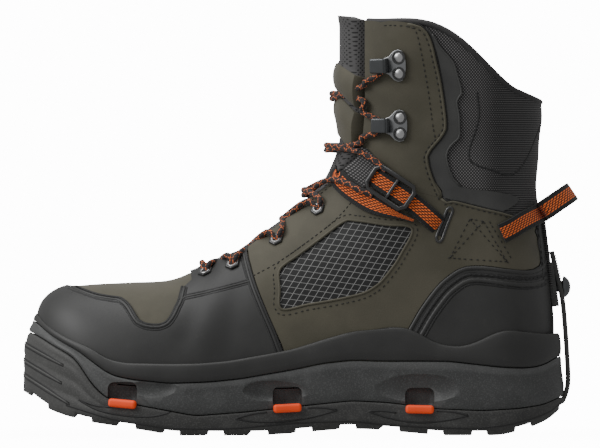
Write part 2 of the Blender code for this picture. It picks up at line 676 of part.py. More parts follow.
def make_panels():
    panel("toe_cap", TOE_CAP, "smooth_rubber", GAP, RUBBER_PANEL)
    panel("heel_counter", COUNTER, "smooth_rubber", GAP, RUBBER_PANEL)
    for side, tag in ((1, "lateral"), (-1, "medial")):
        panel(f"quarter_{tag}", QUARTER, "olive_fabric", GAP, PANEL, side, (WINDOW, COUNTER))
        panel(f"mesh_window_{tag}", WINDOW, "dark_mesh", GAP, WINDOW_PANEL, side)
        panel(f"shaft_panel_{tag}", SHAFT_PANEL, "olive_fabric", GAP, PANEL, side)
        panel(f"gusset_{tag}", GUSSET, "dark_fabric", GAP, WINDOW_PANEL, side, (SHAFT_PANEL,))


def oriented(bm, point, normal, up=Vector((0, 0, 1))):
    """Turns a piece made around +Z so that +Z follows the normal, and places it."""
    across = up.cross(normal).normalized()
    frame = Matrix((across, normal.cross(across), normal)).transposed()
    bmesh.ops.transform(bm, matrix=Matrix.Translation(point) @ frame.to_4x4(), verts=bm.verts)
    return bm


def lathe(profile, segments):
    """Turned piece around Z from (radius, height) points, a ring where the profile stays off the axis."""
    bm = bmesh.new()
    rings = []
    for k in range(segments):
        angle = 2 * math.pi * k / segments
        rings.append([bm.verts.new((r * math.cos(angle), r * math.sin(angle), z)) for r, z in profile])
    for k in range(segments):
        a, b = rings[k], rings[(k + 1) % segments]
        for i in range(len(profile)):
            j = (i + 1) % len(profile)
            if profile[i][0] < 1e-6 and profile[j][0] < 1e-6:
                continue
            bm.faces.new((a[i], b[i], b[j], a[j]))
    bmesh.ops.remove_doubles(bm, verts=bm.verts, dist=1e-6)
    return bm


def make_eyelets():
    for number, (u, v) in enumerate(EYELETS, 1):
        for side, tag in ((1, "lateral"), (-1, "medial")):
            point, normal = surface(u, v, side, GAP + RUBBER_PANEL + 0.0005)
            ring = lathe(((0.0021, 0.0), (0.0042, 0.0), (0.0038, 0.0013), (0.0024, 0.0013)), 8)
            add(f"eyelet_{tag}_{number}", oriented(ring, point, normal), "black_plastic")


def make_hooks():
    plate, height, depth = 0.0013, 0.0175, 0.0085
    outline = ((-0.0065, 0.0), (0.0100, 0.0), (0.0148, 0.0016), (0.0160, 0.0045), (0.0135, depth),
               (0.0085, depth), (0.0085, depth - plate), (0.0130, depth - plate), (0.0146, 0.0042),
               (0.0140, 0.0028), (0.0098, plate), (-0.0065, plate))
    for number, (u, v) in enumerate(HOOKS, 1):
        for side, tag in ((1, "lateral"), (-1, "medial")):
            point, normal = surface(u, v, side, GAP + PANEL + 0.0003)
            forward = Vector((1, 0, 0))
            forward = (forward - normal * forward.dot(normal)).normalized()
            up = normal.cross(forward) * side
            bm = bmesh.new()
            levels = []
            for end in (-0.5, 0.5):
                levels.append([bm.verts.new(point + forward * a + normal * b + up * end * height)
                               for a, b in outline])
            count = len(outline)
            for i in range(count):
                k = (i + 1) % count
                bm.faces.new((levels[0][i], levels[0][k], levels[1][k], levels[1][i]))
            bm.faces.new(levels[0])
            bm.faces.new(levels[1])
            add(f"lace_hook_{tag}_{number}", bm, "gunmetal", rounded=False)


def ribbon(points, normals, width, thickness, closed=False):
    """Flat band along a route, lying with its face to the normals."""
    bm = bmesh.new()
    rings = []
    count = len(points)
    for i, (point, normal) in enumerate(zip(points, normals)):
        before = points[i - 1] if i or closed else points[i]
        after = points[(i + 1) % count] if i < count - 1 or closed else points[i]
        along = (after - before).normalized()
        across = along.cross(normal).normalized()
        face = across.cross(along).normalized()
        if face.dot(normal) < 0:
            face = -face
        rings.append([bm.verts.new(point + across * a * width / 2 + face * b * thickness)
                      for a, b in ((-1, 0), (1, 0), (1, 1), (-1, 1))])
    pairs = list(zip(rings, rings[1:] + rings[:1])) if closed else list(zip(rings, rings[1:]))
    for a, b in pairs:
        for i in range(4):
            k = (i + 1) % 4
            bm.faces.new((a[i], a[k], b[k], b[i]))
    if not closed:
        bm.faces.new(rings[0])
        bm.faces.new(rings[-1])
    return bm


def tube(points, radius, sides=6, closed=False):
    """Round cord along a route."""
    bm = bmesh.new()
    rings = []
    count = len(points)
    normal = None
    for i, point in enumerate(points):
        before = points[i - 1] if i or closed else points[i]
        after = points[(i + 1) % count] if i < count - 1 or closed else points[i]
        along = (after - before).normalized()
        if normal is None:
            normal = along.orthogonal().normalized()
        normal = (normal - along * normal.dot(along)).normalized()
        other = along.cross(normal)
        rings.append([bm.verts.new(point + (normal * math.cos(t) + other * math.sin(t)) * radius)
                      for t in (2 * math.pi * k / sides for k in range(sides))])
    pairs = list(zip(rings, rings[1:] + rings[:1])) if closed else list(zip(rings, rings[1:]))
    for a, b in pairs:
        for i in range(sides):
            k = (i + 1) % sides
            bm.faces.new((a[i], a[k], b[k], b[i]))
    if not closed:
        bm.faces.new(rings[0])
        bm.faces.new(rings[-1])
    return bm


ANKLE_STRAP = ((0.425, 0.560), (0.400, 0.515), (0.372, 0.482), (0.345, 0.455), (0.310, 0.425), (0.285, 0.400))
TOP_STRAND = ((0.347, 0.542), (0.325, 0.520), (0.303, 0.497), (0.275, 0.464), (0.250, 0.432), (0.230, 0.405))
STRAP_LIFT = 0.0032
STRAND_LIFT = 0.0030
# Furthest point of the heel's pull loop, forward of the sole's back
LOOP_REACH = -0.0030
# Adjuster frame around the upper strand: its two places there, half width and the rise of its ends over the webbing
FRAME_PLACES = (0.14, 0.50)
FRAME_HALF, FRAME_BAR, FRAME_RISE = 0.0076, 0.0012, 0.0029


def make_straps():
    for side, tag in ((1, "lateral"), (-1, "medial")):
        for name, route, lift in (("ankle_strap", ANKLE_STRAP, STRAP_LIFT), ("ankle_strand", TOP_STRAND, STRAND_LIFT)):
            spots = [surface(u, v, side, lift) for u, v in route]
            band = ribbon([p for p, _ in spots], [n for _, n in spots], STRAP_WIDTH * 0.9, STRAP_THICKNESS)
            add(f"{name}_{tag}", band, "webbing")
        ring = []
        for row, column in ((0, -1), (0, 0), (0, 1), (1, 1), (1, 0), (1, -1)):
            place = FRAME_PLACES[row] * (len(TOP_STRAND) - 1)
            k = int(place)
            u = lerp(TOP_STRAND[k][0], TOP_STRAND[k + 1][0], place - k)
            v = lerp(TOP_STRAND[k][1], TOP_STRAND[k + 1][1], place - k)
            point, normal = surface(u, v, side, STRAND_LIFT)
            along = surface(u - 0.01, v - 0.012, side, STRAND_LIFT)[0] - point
            across = normal.cross(along).normalized()
            rise = FRAME_RISE if column == 0 else FRAME_RISE * 0.9
            ring.append(point + across * column * FRAME_HALF + normal * rise)
        add(f"strap_adjuster_{tag}", tube(ring, FRAME_BAR, 6, closed=True), "black_plastic")
    loop_route = ((0.121, 0.395, 1), (0.085, 0.425, 1), (0.052, 0.445, 1))
    points, normals = [], []
    for u, v, side in loop_route:
        p, n = surface(u, v, side, 0.0034)
        points.append(p)
        normals.append(n)
    height = points[-1].z
    ends = ((0.0090, 0.0180, 0.0040, (-0.45, 1, 0)), (0.0030, 0.0120, 0.0105, (-0.75, 0.8, 0.2)),
            (LOOP_REACH, 0.0, 0.0150, (-0.8, 0, 0.6)))
    for x, y, rise, n in ends:
        points.append(Vector((x, y, height + rise)))
        normals.append(Vector(n).normalized())
    flip = Matrix.Scale(-1, 3, (0, 1, 0))
    points += [flip @ p for p in reversed(points[:-1])]
    normals += [flip @ n for n in reversed(normals[:-1])]
    add("heel_pull_loop", ribbon(points, normals, STRAP_WIDTH, STRAP_THICKNESS), "webbing")


def make_heel_fittings():
    """Rubber strap up the back of the heel, held on a metal post."""
    thickness, width = 0.0022, 0.016
    knob_z = SEAT_HEIGHT + KNOB_SHARE * SHAFT_HEIGHT
    neck, head, hole_radius = 0.0030, 0.0064, 0.0038
    base_x, neck_length, dome = 0.0079, 0.0063, 0.0050
    points = [Vector((x * BOOT_LENGTH, 0.0, a * SEAT_HEIGHT + b * SHAFT_HEIGHT)) for x, a, b in HEEL_STRAP]
    normals = [Vector((-1, 0, 0))] * len(points)
    strap = add("heel_strap", ribbon(points, normals, width, thickness), "sole_rubber", rounded=False)
    hole = lathe(((0.0, -0.01), (hole_radius, -0.01), (hole_radius, 0.01), (0.0, 0.01)), 12)
    bmesh.ops.rotate(hole, matrix=Matrix.Rotation(math.pi / 2, 3, "Y"), verts=hole.verts)
    bmesh.ops.translate(hole, vec=(0.003, 0.0, knob_z), verts=hole.verts)
    cut(strap, hole, "DIFFERENCE")
    profile = ((0.0, 0.0), (neck, 0.0), (neck, neck_length), (head, neck_length),
               (head * 0.9, neck_length + dome * 0.6), (head * 0.5, neck_length + dome * 0.95),
               (0.0, neck_length + dome))
    post = lathe(profile, 12)
    bmesh.ops.rotate(post, matrix=Matrix.Rotation(-math.pi / 2, 3, "Y"), verts=post.verts)
    bmesh.ops.translate(post, vec=(base_x, 0.0, knob_z), verts=post.verts)
    add("heel_post", post, "gunmetal")


def make_tabs():
    length, height, depth = 0.0165, 0.0053, 0.0024
    for number, (share, level, tilt) in enumerate(zip(TABS, TAB_HEIGHTS, TAB_TILTS), 1):
        for side, tag in ((1, "lateral"), (-1, "medial")):
            bm = bmesh.new()
            rings = []
            z = level * SEAT_HEIGHT
            for t, scale in ((-0.5, 0.5), (-0.36, 1.0), (0.36, 1.0), (0.5, 0.5)):
                u = share + t * length / BOOT_LENGTH
                y = side * (sole_half(u, side) + GAP) + centre_line(u)
                tall, deep = height * scale / 2, depth * (0.5 + scale / 2)
                rings.append([bm.verts.new((u * BOOT_LENGTH, y + side * b * deep, z + a * tall + t * length * tilt))
                              for a, b in ((-1, 0), (1, 0), (1, 0.6), (0.55, 1), (-0.55, 1), (-1, 0.6))])
            for a, b in zip(rings, rings[1:]):
                for i in range(6):
                    k = (i + 1) % 6
                    bm.faces.new((a[i], a[k], b[k], b[i]))
            bm.faces.new(rings[0])
            bm.faces.new(rings[-1])
            add(f"lock_tab_{tag}_{number}", bm, "orange_plastic", rounded=False)


def make_laces():
    for number, (s, end_lift) in enumerate(LACE_CRESTS, 1):
        edge = throat_share(s)
        points = []
        spread = (-1.0, -0.6, 0.0, 0.6, 1.0)
        for t in spread:
            side = 1 if t > 0 else -1
            w = lerp(1.0, edge - 0.02, abs(t))
            here = upper_point(s, w, side)
            middle = upper_point(s, 0.35, side)
            outward = (here - Vector((middle.x, centre_line(0.5), middle.z))).normalized()
            outward = (outward + (upper_point(s, 1.0, 1) - upper_point(s, 0.5, 1)
                                  ).project(Vector((1, 0, 1))).normalized() * (1 - abs(t))).normalized()
            lift = end_lift if abs(t) > 0.9 else LACE_LIFT
            points.append(here + outward * lift)
        add(f"lace_bar_{number}", tube(points, LACE_RADIUS, 6), "lace_cord")


def settle():
    """Shifts the whole boot so that the middle of its outline stands over the origin on the floor."""
    bpy.context.view_layer.update()
    corners = []
    for obj in root.children:
        corners += [obj.matrix_world @ v.co for v in obj.data.vertices]
    low = [min(c[i] for c in corners) for i in range(3)]
    high = [max(c[i] for c in corners) for i in range(3)]
    root.location = (-(low[0] + high[0]) / 2, -(low[1] + high[1]) / 2, -low[2])


for item in list(bpy.data.objects):
    bpy.data.objects.remove(item)
root = bpy.data.objects.new("boot_root", None)
bpy.context.collection.objects.link(root)
make_outsole()
make_sole_frame()
make_midsole()
make_insole()
make_upper()
make_tongue()
make_panels()
make_eyelets()
make_hooks()
make_straps()
make_heel_fittings()
make_tabs()
make_laces()
settle()
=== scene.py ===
# %% [markdown]
# # A wading boot, dressed
# The boot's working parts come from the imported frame. This script gives them their looks: a finer
# upper cut from the same sections, panels with rims and stitches, a moulded sole, laces, webbing and
# procedural materials.

# %% Load the frame
import math

import bmesh
import bpy
from mathutils import Matrix, Vector
from mathutils.bvhtree import BVHTree


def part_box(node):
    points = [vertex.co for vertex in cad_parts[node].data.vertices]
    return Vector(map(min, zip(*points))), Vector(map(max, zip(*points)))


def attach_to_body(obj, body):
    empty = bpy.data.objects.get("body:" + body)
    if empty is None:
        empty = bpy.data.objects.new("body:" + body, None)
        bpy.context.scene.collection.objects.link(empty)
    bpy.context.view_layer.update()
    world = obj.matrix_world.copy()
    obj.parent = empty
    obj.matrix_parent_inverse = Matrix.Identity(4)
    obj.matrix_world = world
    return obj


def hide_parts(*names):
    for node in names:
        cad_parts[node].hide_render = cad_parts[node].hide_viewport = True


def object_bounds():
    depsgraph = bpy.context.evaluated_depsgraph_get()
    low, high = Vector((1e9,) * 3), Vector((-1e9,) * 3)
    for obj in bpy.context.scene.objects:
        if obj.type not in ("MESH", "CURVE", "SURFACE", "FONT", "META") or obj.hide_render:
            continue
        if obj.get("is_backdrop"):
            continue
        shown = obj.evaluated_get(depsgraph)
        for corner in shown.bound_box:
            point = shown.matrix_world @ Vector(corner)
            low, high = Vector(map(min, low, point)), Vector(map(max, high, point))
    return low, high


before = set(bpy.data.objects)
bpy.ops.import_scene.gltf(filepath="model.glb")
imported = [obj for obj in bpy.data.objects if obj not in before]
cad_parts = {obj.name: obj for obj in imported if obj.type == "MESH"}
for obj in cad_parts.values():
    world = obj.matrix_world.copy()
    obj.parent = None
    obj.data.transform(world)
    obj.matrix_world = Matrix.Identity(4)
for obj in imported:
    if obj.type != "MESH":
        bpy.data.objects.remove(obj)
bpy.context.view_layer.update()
bpy.ops.object.select_all(action="DESELECT")

# %% [markdown]
# ## Sizes
# The frame's origin is the middle of the boot on the floor. Side-view places are shares of the sole's
# length from the heel and of the shaft's height above the seat, as a last maker would mark them, so
# every outline below reads the same way.

# %% Sizes and places
MM = 0.001
BOOT_LENGTH = 0.320
SEAT_HEIGHT = 0.036
SHAFT_HEIGHT = 0.212
BALL_WIDTH = 0.110
TOE_SWING = 0.008
COLLAR_RISE = 0.0173
WALL = 0.0024
SOLE_MARGIN = 0.002
HEEL_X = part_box("outsole")[0].x - 0.0012 * BOOT_LENGTH
CENTRE_Y = (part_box("heel_strap")[0].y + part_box("heel_strap")[1].y) / 2
LATERAL, MEDIAL = 1, -1
SIDES = (LATERAL, MEDIAL)
TAGS = ((LATERAL, "lateral"), (MEDIAL, "medial"))


def lerp(a, b, t):
    return a + (b - a) * t


def smooth(low, high, value):
    t = min(max((value - low) / (high - low), 0.0), 1.0)
    return t * t * (3 - 2 * t)


def bump(centre, width, value):
    """A soft hill of height one around a centre."""
    return math.exp(-((value - centre) / width) ** 2)


def curve(p, t):
    """Smooth curve between the middle two of four points or numbers."""
    return 0.5 * (2 * p[1] + (p[2] - p[0]) * t + (2 * p[0] - 5 * p[1] + 4 * p[2] - p[3]) * t * t
                  + (3 * p[1] - p[0] - 3 * p[2] + p[3]) * t ** 3)


def four_around(items, i):
    """The four items around a gap, with the ends held."""
    return [items[min(max(k, 0), len(items) - 1)] for k in range(i - 1, i + 3)]


def spline(values, t):
    """Smooth curve through evenly spaced values."""
    i = min(max(int(t), 0), len(values) - 2)
    return curve(four_around(values, i), t - i)


def table_value(rows, at, pick=1):
    """Value between the rows of a table whose first column grows."""
    for before, after in zip(rows, rows[1:]):
        if at <= after[0]:
            return lerp(before[pick], after[pick], (at - before[0]) / (after[0] - before[0]))
    return rows[-1][pick]


def line_height(rows, u):
    """Height line of the sole at a share of the length, with its corners eased."""
    total = 0.0
    for k in (-2, -1, 0, 1, 2):
        total += table_value(rows, min(max(u + k * 0.006, 0.008), 1.0))
    return total / 5 * SEAT_HEIGHT


def side_place(u, v):
    """World X and Z of a side-view share."""
    return HEEL_X + u * BOOT_LENGTH, SEAT_HEIGHT + v * SHAFT_HEIGHT


def side_share(x, z):
    """Side-view share of a world X and Z."""
    return (x - HEEL_X) / BOOT_LENGTH, (z - SEAT_HEIGHT) / SHAFT_HEIGHT


def centre_line(u):
    return CENTRE_Y - TOE_SWING * smooth(0.55, 1.0, u)


print("heel at", round(HEEL_X, 4), "centre at", round(CENTRE_Y, 4))

# %% [markdown]
# ## The last
# The upper is a fan of sections, upright at the toe and level at the collar. Each row of the table is
# one section: where it starts at the sole and ends at the lace line, how wide it is on each side and
# how its ends are rounded. Creases are added to the form itself, so that every layer on it bends
# together.

# %% The upper's sections
# Place at the sole, place at the lace line, half width to each side, squareness at the sole, shares of
# the section that its low and high curves take, and the high curve's power
SECTIONS = (
    (0.963, 0.024, 0.967, 0.049, 0.000, 0.000, 0.90, 0.50, 1.00, 2.2),
    (0.956, 0.010, 0.969, 0.065, 0.145, 0.145, 0.90, 0.50, 1.00, 2.2),
    (0.943, 0.001, 0.971, 0.135, 0.245, 0.245, 0.93, 0.40, 1.00, 2.3),
    (0.921, -0.007, 0.961, 0.196, 0.336, 0.327, 0.94, 0.40, 1.00, 2.4),
    (0.887, -0.015, 0.928, 0.234, 0.414, 0.395, 0.95, 0.35, 1.00, 2.4),
    (0.847, -0.021, 0.876, 0.246, 0.459, 0.432, 0.96, 0.35, 1.00, 2.4),
    (0.784, -0.029, 0.803, 0.252, 0.486, 0.450, 0.97, 0.30, 1.00, 2.3),
    (0.710, -0.035, 0.725, 0.260, 0.482, 0.441, 0.97, 0.30, 1.00, 2.2),
    (0.637, -0.038, 0.664, 0.302, 0.455, 0.409, 0.97, 0.30, 0.95, 2.1),
    (0.563, -0.038, 0.600, 0.355, 0.423, 0.377, 0.97, 0.30, 0.90, 2.0),
    (0.489, -0.035, 0.541, 0.408, 0.400, 0.355, 0.97, 0.30, 0.85, 2.0),
    (0.406, -0.026, 0.489, 0.469, 0.382, 0.345, 0.97, 0.30, 0.80, 2.0),
    (0.314, -0.018, 0.448, 0.530, 0.373, 0.341, 0.97, 0.30, 0.70, 2.0),
    (0.231, -0.010, 0.426, 0.594, 0.373, 0.345, 0.97, 0.30, 0.60, 2.0),
    (0.157, -0.004, 0.417, 0.639, 0.364, 0.345, 0.93, 0.30, 0.50, 2.0),
    (0.092, 0.001, 0.413, 0.675, 0.355, 0.345, 0.84, 0.28, 0.45, 2.0),
    (0.052, 0.010, 0.411, 0.703, 0.350, 0.345, 0.62, 0.28, 0.42, 2.0),
    (0.035, 0.021, 0.411, 0.728, 0.345, 0.345, 0.00, 0.25, 0.40, 2.0),
    (0.028, 0.065, 0.411, 0.753, 0.345, 0.345, 0.00, 0.27, 0.38, 2.0),
    (0.026, 0.135, 0.411, 0.778, 0.345, 0.345, 0.00, 0.28, 0.38, 2.0),
    (0.030, 0.218, 0.411, 0.803, 0.345, 0.345, 0.00, 0.30, 0.38, 2.0),
    (0.037, 0.310, 0.411, 0.831, 0.345, 0.345, 0.00, 0.32, 0.38, 2.0),
    (0.044, 0.394, 0.411, 0.859, 0.350, 0.350, 0.00, 0.35, 0.39, 2.0),
    (0.050, 0.483, 0.411, 0.889, 0.355, 0.355, 0.00, 0.38, 0.40, 2.0),
    (0.050, 0.566, 0.411, 0.920, 0.364, 0.364, 0.00, 0.40, 0.41, 2.0),
    (0.046, 0.641, 0.411, 0.950, 0.373, 0.373, 0.00, 0.42, 0.42, 2.0),
    (0.042, 0.705, 0.411, 0.975, 0.382, 0.382, 0.00, 0.44, 0.43, 2.0),
    (0.044, 0.756, 0.410, 0.995, 0.386, 0.386, 0.00, 0.45, 0.44, 2.0),
)
COLUMNS = list(zip(*SECTIONS))
LAST = len(SECTIONS) - 1
THROAT_START, BACK_SEAM, HUMP_START = 7, 17, 16
THROAT = (
    (0.725, 0.262), (0.681, 0.285), (0.666, 0.299), (0.587, 0.344), (0.520, 0.416), (0.482, 0.469),
    (0.443, 0.511), (0.406, 0.561), (0.382, 0.600), (0.371, 0.650), (0.367, 0.733), (0.367, 1.10),
)
# Soft troughs of the worn upper: side-view start, end, width and depth in millimetres
CREASES = (
    ((0.70, 0.10), (0.66, 0.27), 7.0, 1.0), ((0.63, 0.06), (0.60, 0.27), 8.0, 0.8),
    ((0.37, 0.60), (0.24, 0.50), 6.0, 1.1), ((0.38, 0.53), (0.27, 0.44), 6.0, 0.7),
    ((0.20, 0.44), (0.06, 0.52), 9.0, 0.9), ((0.20, 0.62), (0.06, 0.66), 10.0, 0.8),
    ((0.35, 0.74), (0.25, 0.72), 7.0, 0.6), ((0.30, 0.17), (0.26, 0.40), 14.0, 0.8),
)


def column(number, s):
    return spline(COLUMNS[number], s)


def crease_depth(x, z):
    """Depth of all creases at a side-view place."""
    depth = 0.0
    for start, end, width, deep in CREASES:
        ax, az = side_place(*start)
        bx, bz = side_place(*end)
        along = Vector((bx - ax, bz - az))
        away = Vector((x - ax, z - az))
        t = min(max(away.dot(along) / along.length_squared, 0.0), 1.0)
        gap = (away - along * t).length / (width * MM)
        depth += deep * MM * math.exp(-gap * gap)
    return depth


def last_point(s, w, side):
    """Point of the form: s counts sections from toe to collar, w runs from the sole to the lace line."""
    u = lerp(column(0, s), column(2, s), w)
    v = lerp(column(1, s), column(3, s), w)
    half = max(column(4 if side > 0 else 5, s), 0.0) * BALL_WIDTH
    start = min(max(column(6, s), 0.0), 1.0) if s < BACK_SEAM else 0.0
    low = min(w / column(7, s), 1.0)
    high = min((1 - w) / column(8, s), 1.0)
    power = column(9, s)
    foot = start + (1 - start) * math.sqrt(max(1 - (1 - low) ** 2, 0.0))
    crown = max(1 - (1 - high) ** power, 0.0) ** (1 / power)
    rise_at = (w - 0.13) / 0.87
    rise = 0.0
    if 0 < rise_at < 1:
        rise = COLLAR_RISE * smooth(HUMP_START, LAST, s) * math.sin(math.pi * rise_at ** 0.85) ** 1.8
    x, z = side_place(u, v)
    return Vector((x, side * half * foot * crown + centre_line(u), z + rise))


def throat_share(s):
    """Share w at which a section meets the edge of the throat."""
    if s <= THROAT_START:
        return 1.0
    ax, az, bx, bz = column(0, s), column(1, s), column(2, s), column(3, s)
    dx, dz = (bx - ax) * 1.02, (bz - az) * 1.02
    for (px, pz), (qx, qz) in zip(THROAT, THROAT[1:]):
        ex, ez = qx - px, qz - pz
        cross = dx * ez - dz * ex
        if abs(cross) < 1e-9:
            continue
        t = ((px - ax) * ez - (pz - az) * ex) / cross
        k = ((px - ax) * dz - (pz - az) * dx) / cross
        if 0 <= t <= 1 and 0 <= k <= 1:
            return min(t * 1.02, 1.0)
    return 1.0


def mesh_of(points, faces):
    """A bmesh from points and rings of their numbers."""
    bm = bmesh.new()
    verts = [bm.verts.new(p) for p in points]
    for face in faces:
        bm.faces.new([verts[k] for k in face])
    bm.normal_update()
    return bm, verts


def distinct(ring):
    """A ring without neighbours that are the same."""
    return [k for i, k in enumerate(ring) if k != ring[i - 1]]


class Form:
    """Fine grid of the last with normals, from which every layer of the upper is lifted."""

    def __init__(self, rows, shares):
        self.points, self.params, self.faces, self.grids = [], [], [], {}
        found = {}
        for side in SIDES:
            grid = []
            for s in rows:
                line = []
                for w in shares(s):
                    point = last_point(s, w, side)
                    key = tuple(round(value, 6) for value in point)
                    if key not in found:
                        found[key] = len(self.points)
                        self.points.append(point)
                        self.params.append((s, w, side))
                    line.append(found[key])
                grid.append(line)
            self.grids[side] = grid
            for near, far in zip(grid, grid[1:]):
                for j in range(len(near) - 1):
                    ring = distinct([near[j], near[j + 1], far[j + 1], far[j]])
                    if len(ring) > 2 and len(set(ring)) == len(ring):
                        self.faces.append(ring if side > 0 else ring[::-1])
        bm, verts = mesh_of(self.points, self.faces)
        probe = max(verts, key=lambda vert: vert.co.y)
        sign = 1.0 if probe.normal.y > 0 else -1.0
        self.normals = [vert.normal * sign for vert in verts]
        bm.free()
        self.depths = [crease_depth(p.x, p.z) for p in self.points]

    def lifted(self, offset):
        """Points of the form moved out along its normals, with the creases taken off."""
        moved = []
        for point, normal, depth, param in zip(self.points, self.normals, self.depths, self.params):
            amount = offset(*param) if callable(offset) else offset
            moved.append(point + normal * (amount - depth))
        return moved

    def shell(self, inner, outer, keep=None):
        """Closed mesh between two lifts, limited to the faces that keep() allows."""
        low, high = self.lifted(inner), self.lifted(outer)
        faces = [f for f in self.faces if keep is None or any(keep(self.points[k]) for k in f)]
        bm = bmesh.new()
        made = {}

        def vert(level, k):
            if (level, k) not in made:
                made[level, k] = bm.verts.new((low, high)[level][k])
            return made[level, k]

        edges = set()
        for face in faces:
            bm.faces.new([vert(1, k) for k in face])
            bm.faces.new([vert(0, k) for k in reversed(face)])
            edges.update(zip(face, face[1:] + face[:1]))
        for a, b in edges:
            if (b, a) not in edges:
                bm.faces.new((vert(1, b), vert(1, a), vert(0, a), vert(0, b)))
        return bm


def steps(first, last, size):
    count = max(int(round((last - first) / size)), 1)
    return [first + (last - first) * i / count for i in range(count + 1)]


ROWS = steps(0, 1, 0.125) + steps(1, 8, 0.125)[1:] + steps(8, LAST, 0.16)[1:]
ACROSS = 30


def upper_shares(s, edge=None):
    edge = edge or throat_share(s)
    ends = smooth(11, 17, s)
    shares = []
    for j in range(ACROSS + 1):
        t = j / ACROSS
        shares.append(edge * lerp(1 - (1 - t) ** 1.5, (1 - math.cos(math.pi * t)) / 2, ends))
    return shares


FORM = Form(ROWS, upper_shares)
print("form points", len(FORM.points))

# %% [markdown]
# ## Helpers for making pieces
# A piece is added at the origin with its place in its mesh. Outlines are given by a few side-view
# points and turned into smooth curves, and a cutter with that outline takes the panel out of a thin
# shell of the form.

# %% Helpers


def new_object(name, bm, mat, smooth_faces=True, fix_normals=True):
    if fix_normals:
        bmesh.ops.recalc_face_normals(bm, faces=bm.faces)
    mesh = bpy.data.meshes.new(name)
    bm.to_mesh(mesh)
    bm.free()
    obj = bpy.data.objects.new(name, mesh)
    bpy.context.collection.objects.link(obj)
    mesh.materials.append(mat)
    if smooth_faces:
        mesh.shade_smooth()
    return obj


def activate(*objs):
    """Selects these objects alone and makes the first one active."""
    bpy.ops.object.select_all(action="DESELECT")
    for obj in objs:
        obj.select_set(True)
    bpy.context.view_layer.objects.active = objs[0]


def apply_modifier(obj, kind, **settings):
    """Adds a modifier, sets it and applies it."""
    mod = obj.modifiers.new(kind.lower(), kind)
    for name, value in settings.items():
        setattr(mod, name, value)
    activate(obj)
    bpy.ops.object.modifier_apply(modifier=mod.name)


def shade(obj, angle=35.0):
    activate(obj)
    bpy.ops.object.shade_smooth_by_angle(angle=math.radians(angle))


def round_edges(obj, width, segments=2, angle=40.0):
    apply_modifier(obj, "BEVEL", width=width, segments=segments, limit_method="ANGLE",
                   angle_limit=math.radians(angle), use_clamp_overlap=True)


def soften(obj, width, segments=2, angle=40.0):
    """Rounds the sharp edges and shades the rest smooth."""
    round_edges(obj, width, segments, angle)
    shade(obj)
    apply_modifier(obj, "WEIGHTED_NORMAL", keep_sharp=True, weight=60)


def cut(obj, tool, operation):
    """Exact boolean with a bmesh tool, applied at once."""
    bmesh.ops.recalc_face_normals(tool, faces=tool.faces)
    mesh = bpy.data.meshes.new("cutter")
    tool.to_mesh(mesh)
    tool.free()
    cutter = bpy.data.objects.new("cutter", mesh)
    bpy.context.collection.objects.link(cutter)
    apply_modifier(obj, "BOOLEAN", operation=operation, solver="EXACT", object=cutter)
    bpy.data.objects.remove(cutter)
    bpy.data.meshes.remove(mesh)


def attach(obj, slot, *nodes):
    """Fixes a piece to the boot's body in place of the nodes that it stands for; the slot is not used."""
    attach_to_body(obj, "root")
    if nodes:
        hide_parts(*nodes)


def smooth_outline(points, closed=True, pitch=0.004):
    """Curve through side-view points in world X and Z."""
    flat = [Vector(side_place(u, v)) for u, v in points]
    count = len(flat)
    out = []
    for i in range(count if closed else count - 1):
        p1, p2 = flat[i], flat[(i + 1) % count]
        p0 = flat[i - 1] if closed or i else p1
        p3 = flat[(i + 2) % count] if closed or i + 2 < count else p2
        parts = max(int((p2 - p1).length / pitch), 1)
        for k in range(parts):
            t = k / parts
            h = p1 * (2 * t ** 3 - 3 * t ** 2 + 1) + (p2 - p0) * 0.5 * (t ** 3 - 2 * t ** 2 + t)
            h += p2 * (3 * t ** 2 - 2 * t ** 3) + (p3 - p1) * 0.5 * (t ** 3 - t ** 2)
            out.append(h)
    return out if closed else out + [flat[-1]]


def grown(flat, amount):
    """Closed outline moved outwards by an amount."""
    area = sum(a.x * b.y - b.x * a.y for a, b in zip(flat, flat[1:] + flat[:1]))
    turn = 1.0 if area > 0 else -1.0
    out = []
    for i, point in enumerate(flat):
        before = (point - flat[i - 1]).normalized()
        after = (flat[(i + 1) % len(flat)] - point).normalized()
        normal = Vector((before.y + after.y, -before.x - after.x))
        out.append(point + normal.normalized() * turn * amount if normal.length > 1e-6 else point)
    return out


def prism(flat, y_low, y_high):
    bm = bmesh.new()
    low = [bm.verts.new((p.x, y_low, p.y)) for p in flat]
    high = [bm.verts.new((p.x, y_high, p.y)) for p in flat]
    bm.faces.new(low)
    bm.faces.new(high[::-1])
    for i in range(len(flat)):
        k = (i + 1) % len(flat)
        bm.faces.new((low[i], high[i], high[k], low[k]))
    return bm


def half_space(side, near=0.0):
    """Y range of one side, or of both when side is None."""
    if side is None:
        return -BALL_WIDTH, BALL_WIDTH
    return tuple(sorted((CENTRE_Y + side * near, side * BALL_WIDTH)))


SKIN_POINTS = FORM.lifted(0.0)
SKIN = BVHTree.FromPolygons([tuple(p) for p in SKIN_POINTS], FORM.faces)
body, corners = mesh_of(SKIN_POINTS, FORM.faces)
SKIN_NORMALS = [corner.normal * (1.0 if corner.normal.dot(out) > 0 else -1.0)
                for corner, out in zip(corners, FORM.normals)]
body.free()


def skin_normal(place):
    """Normal of the creased form nearest to a place, blended between the corners of its face."""
    point, _, face, _ = SKIN.find_nearest(place)
    total = Vector()
    for k in FORM.faces[face]:
        total += SKIN_NORMALS[k] / ((SKIN_POINTS[k] - point).length_squared + 1e-8)
    return total.normalized()


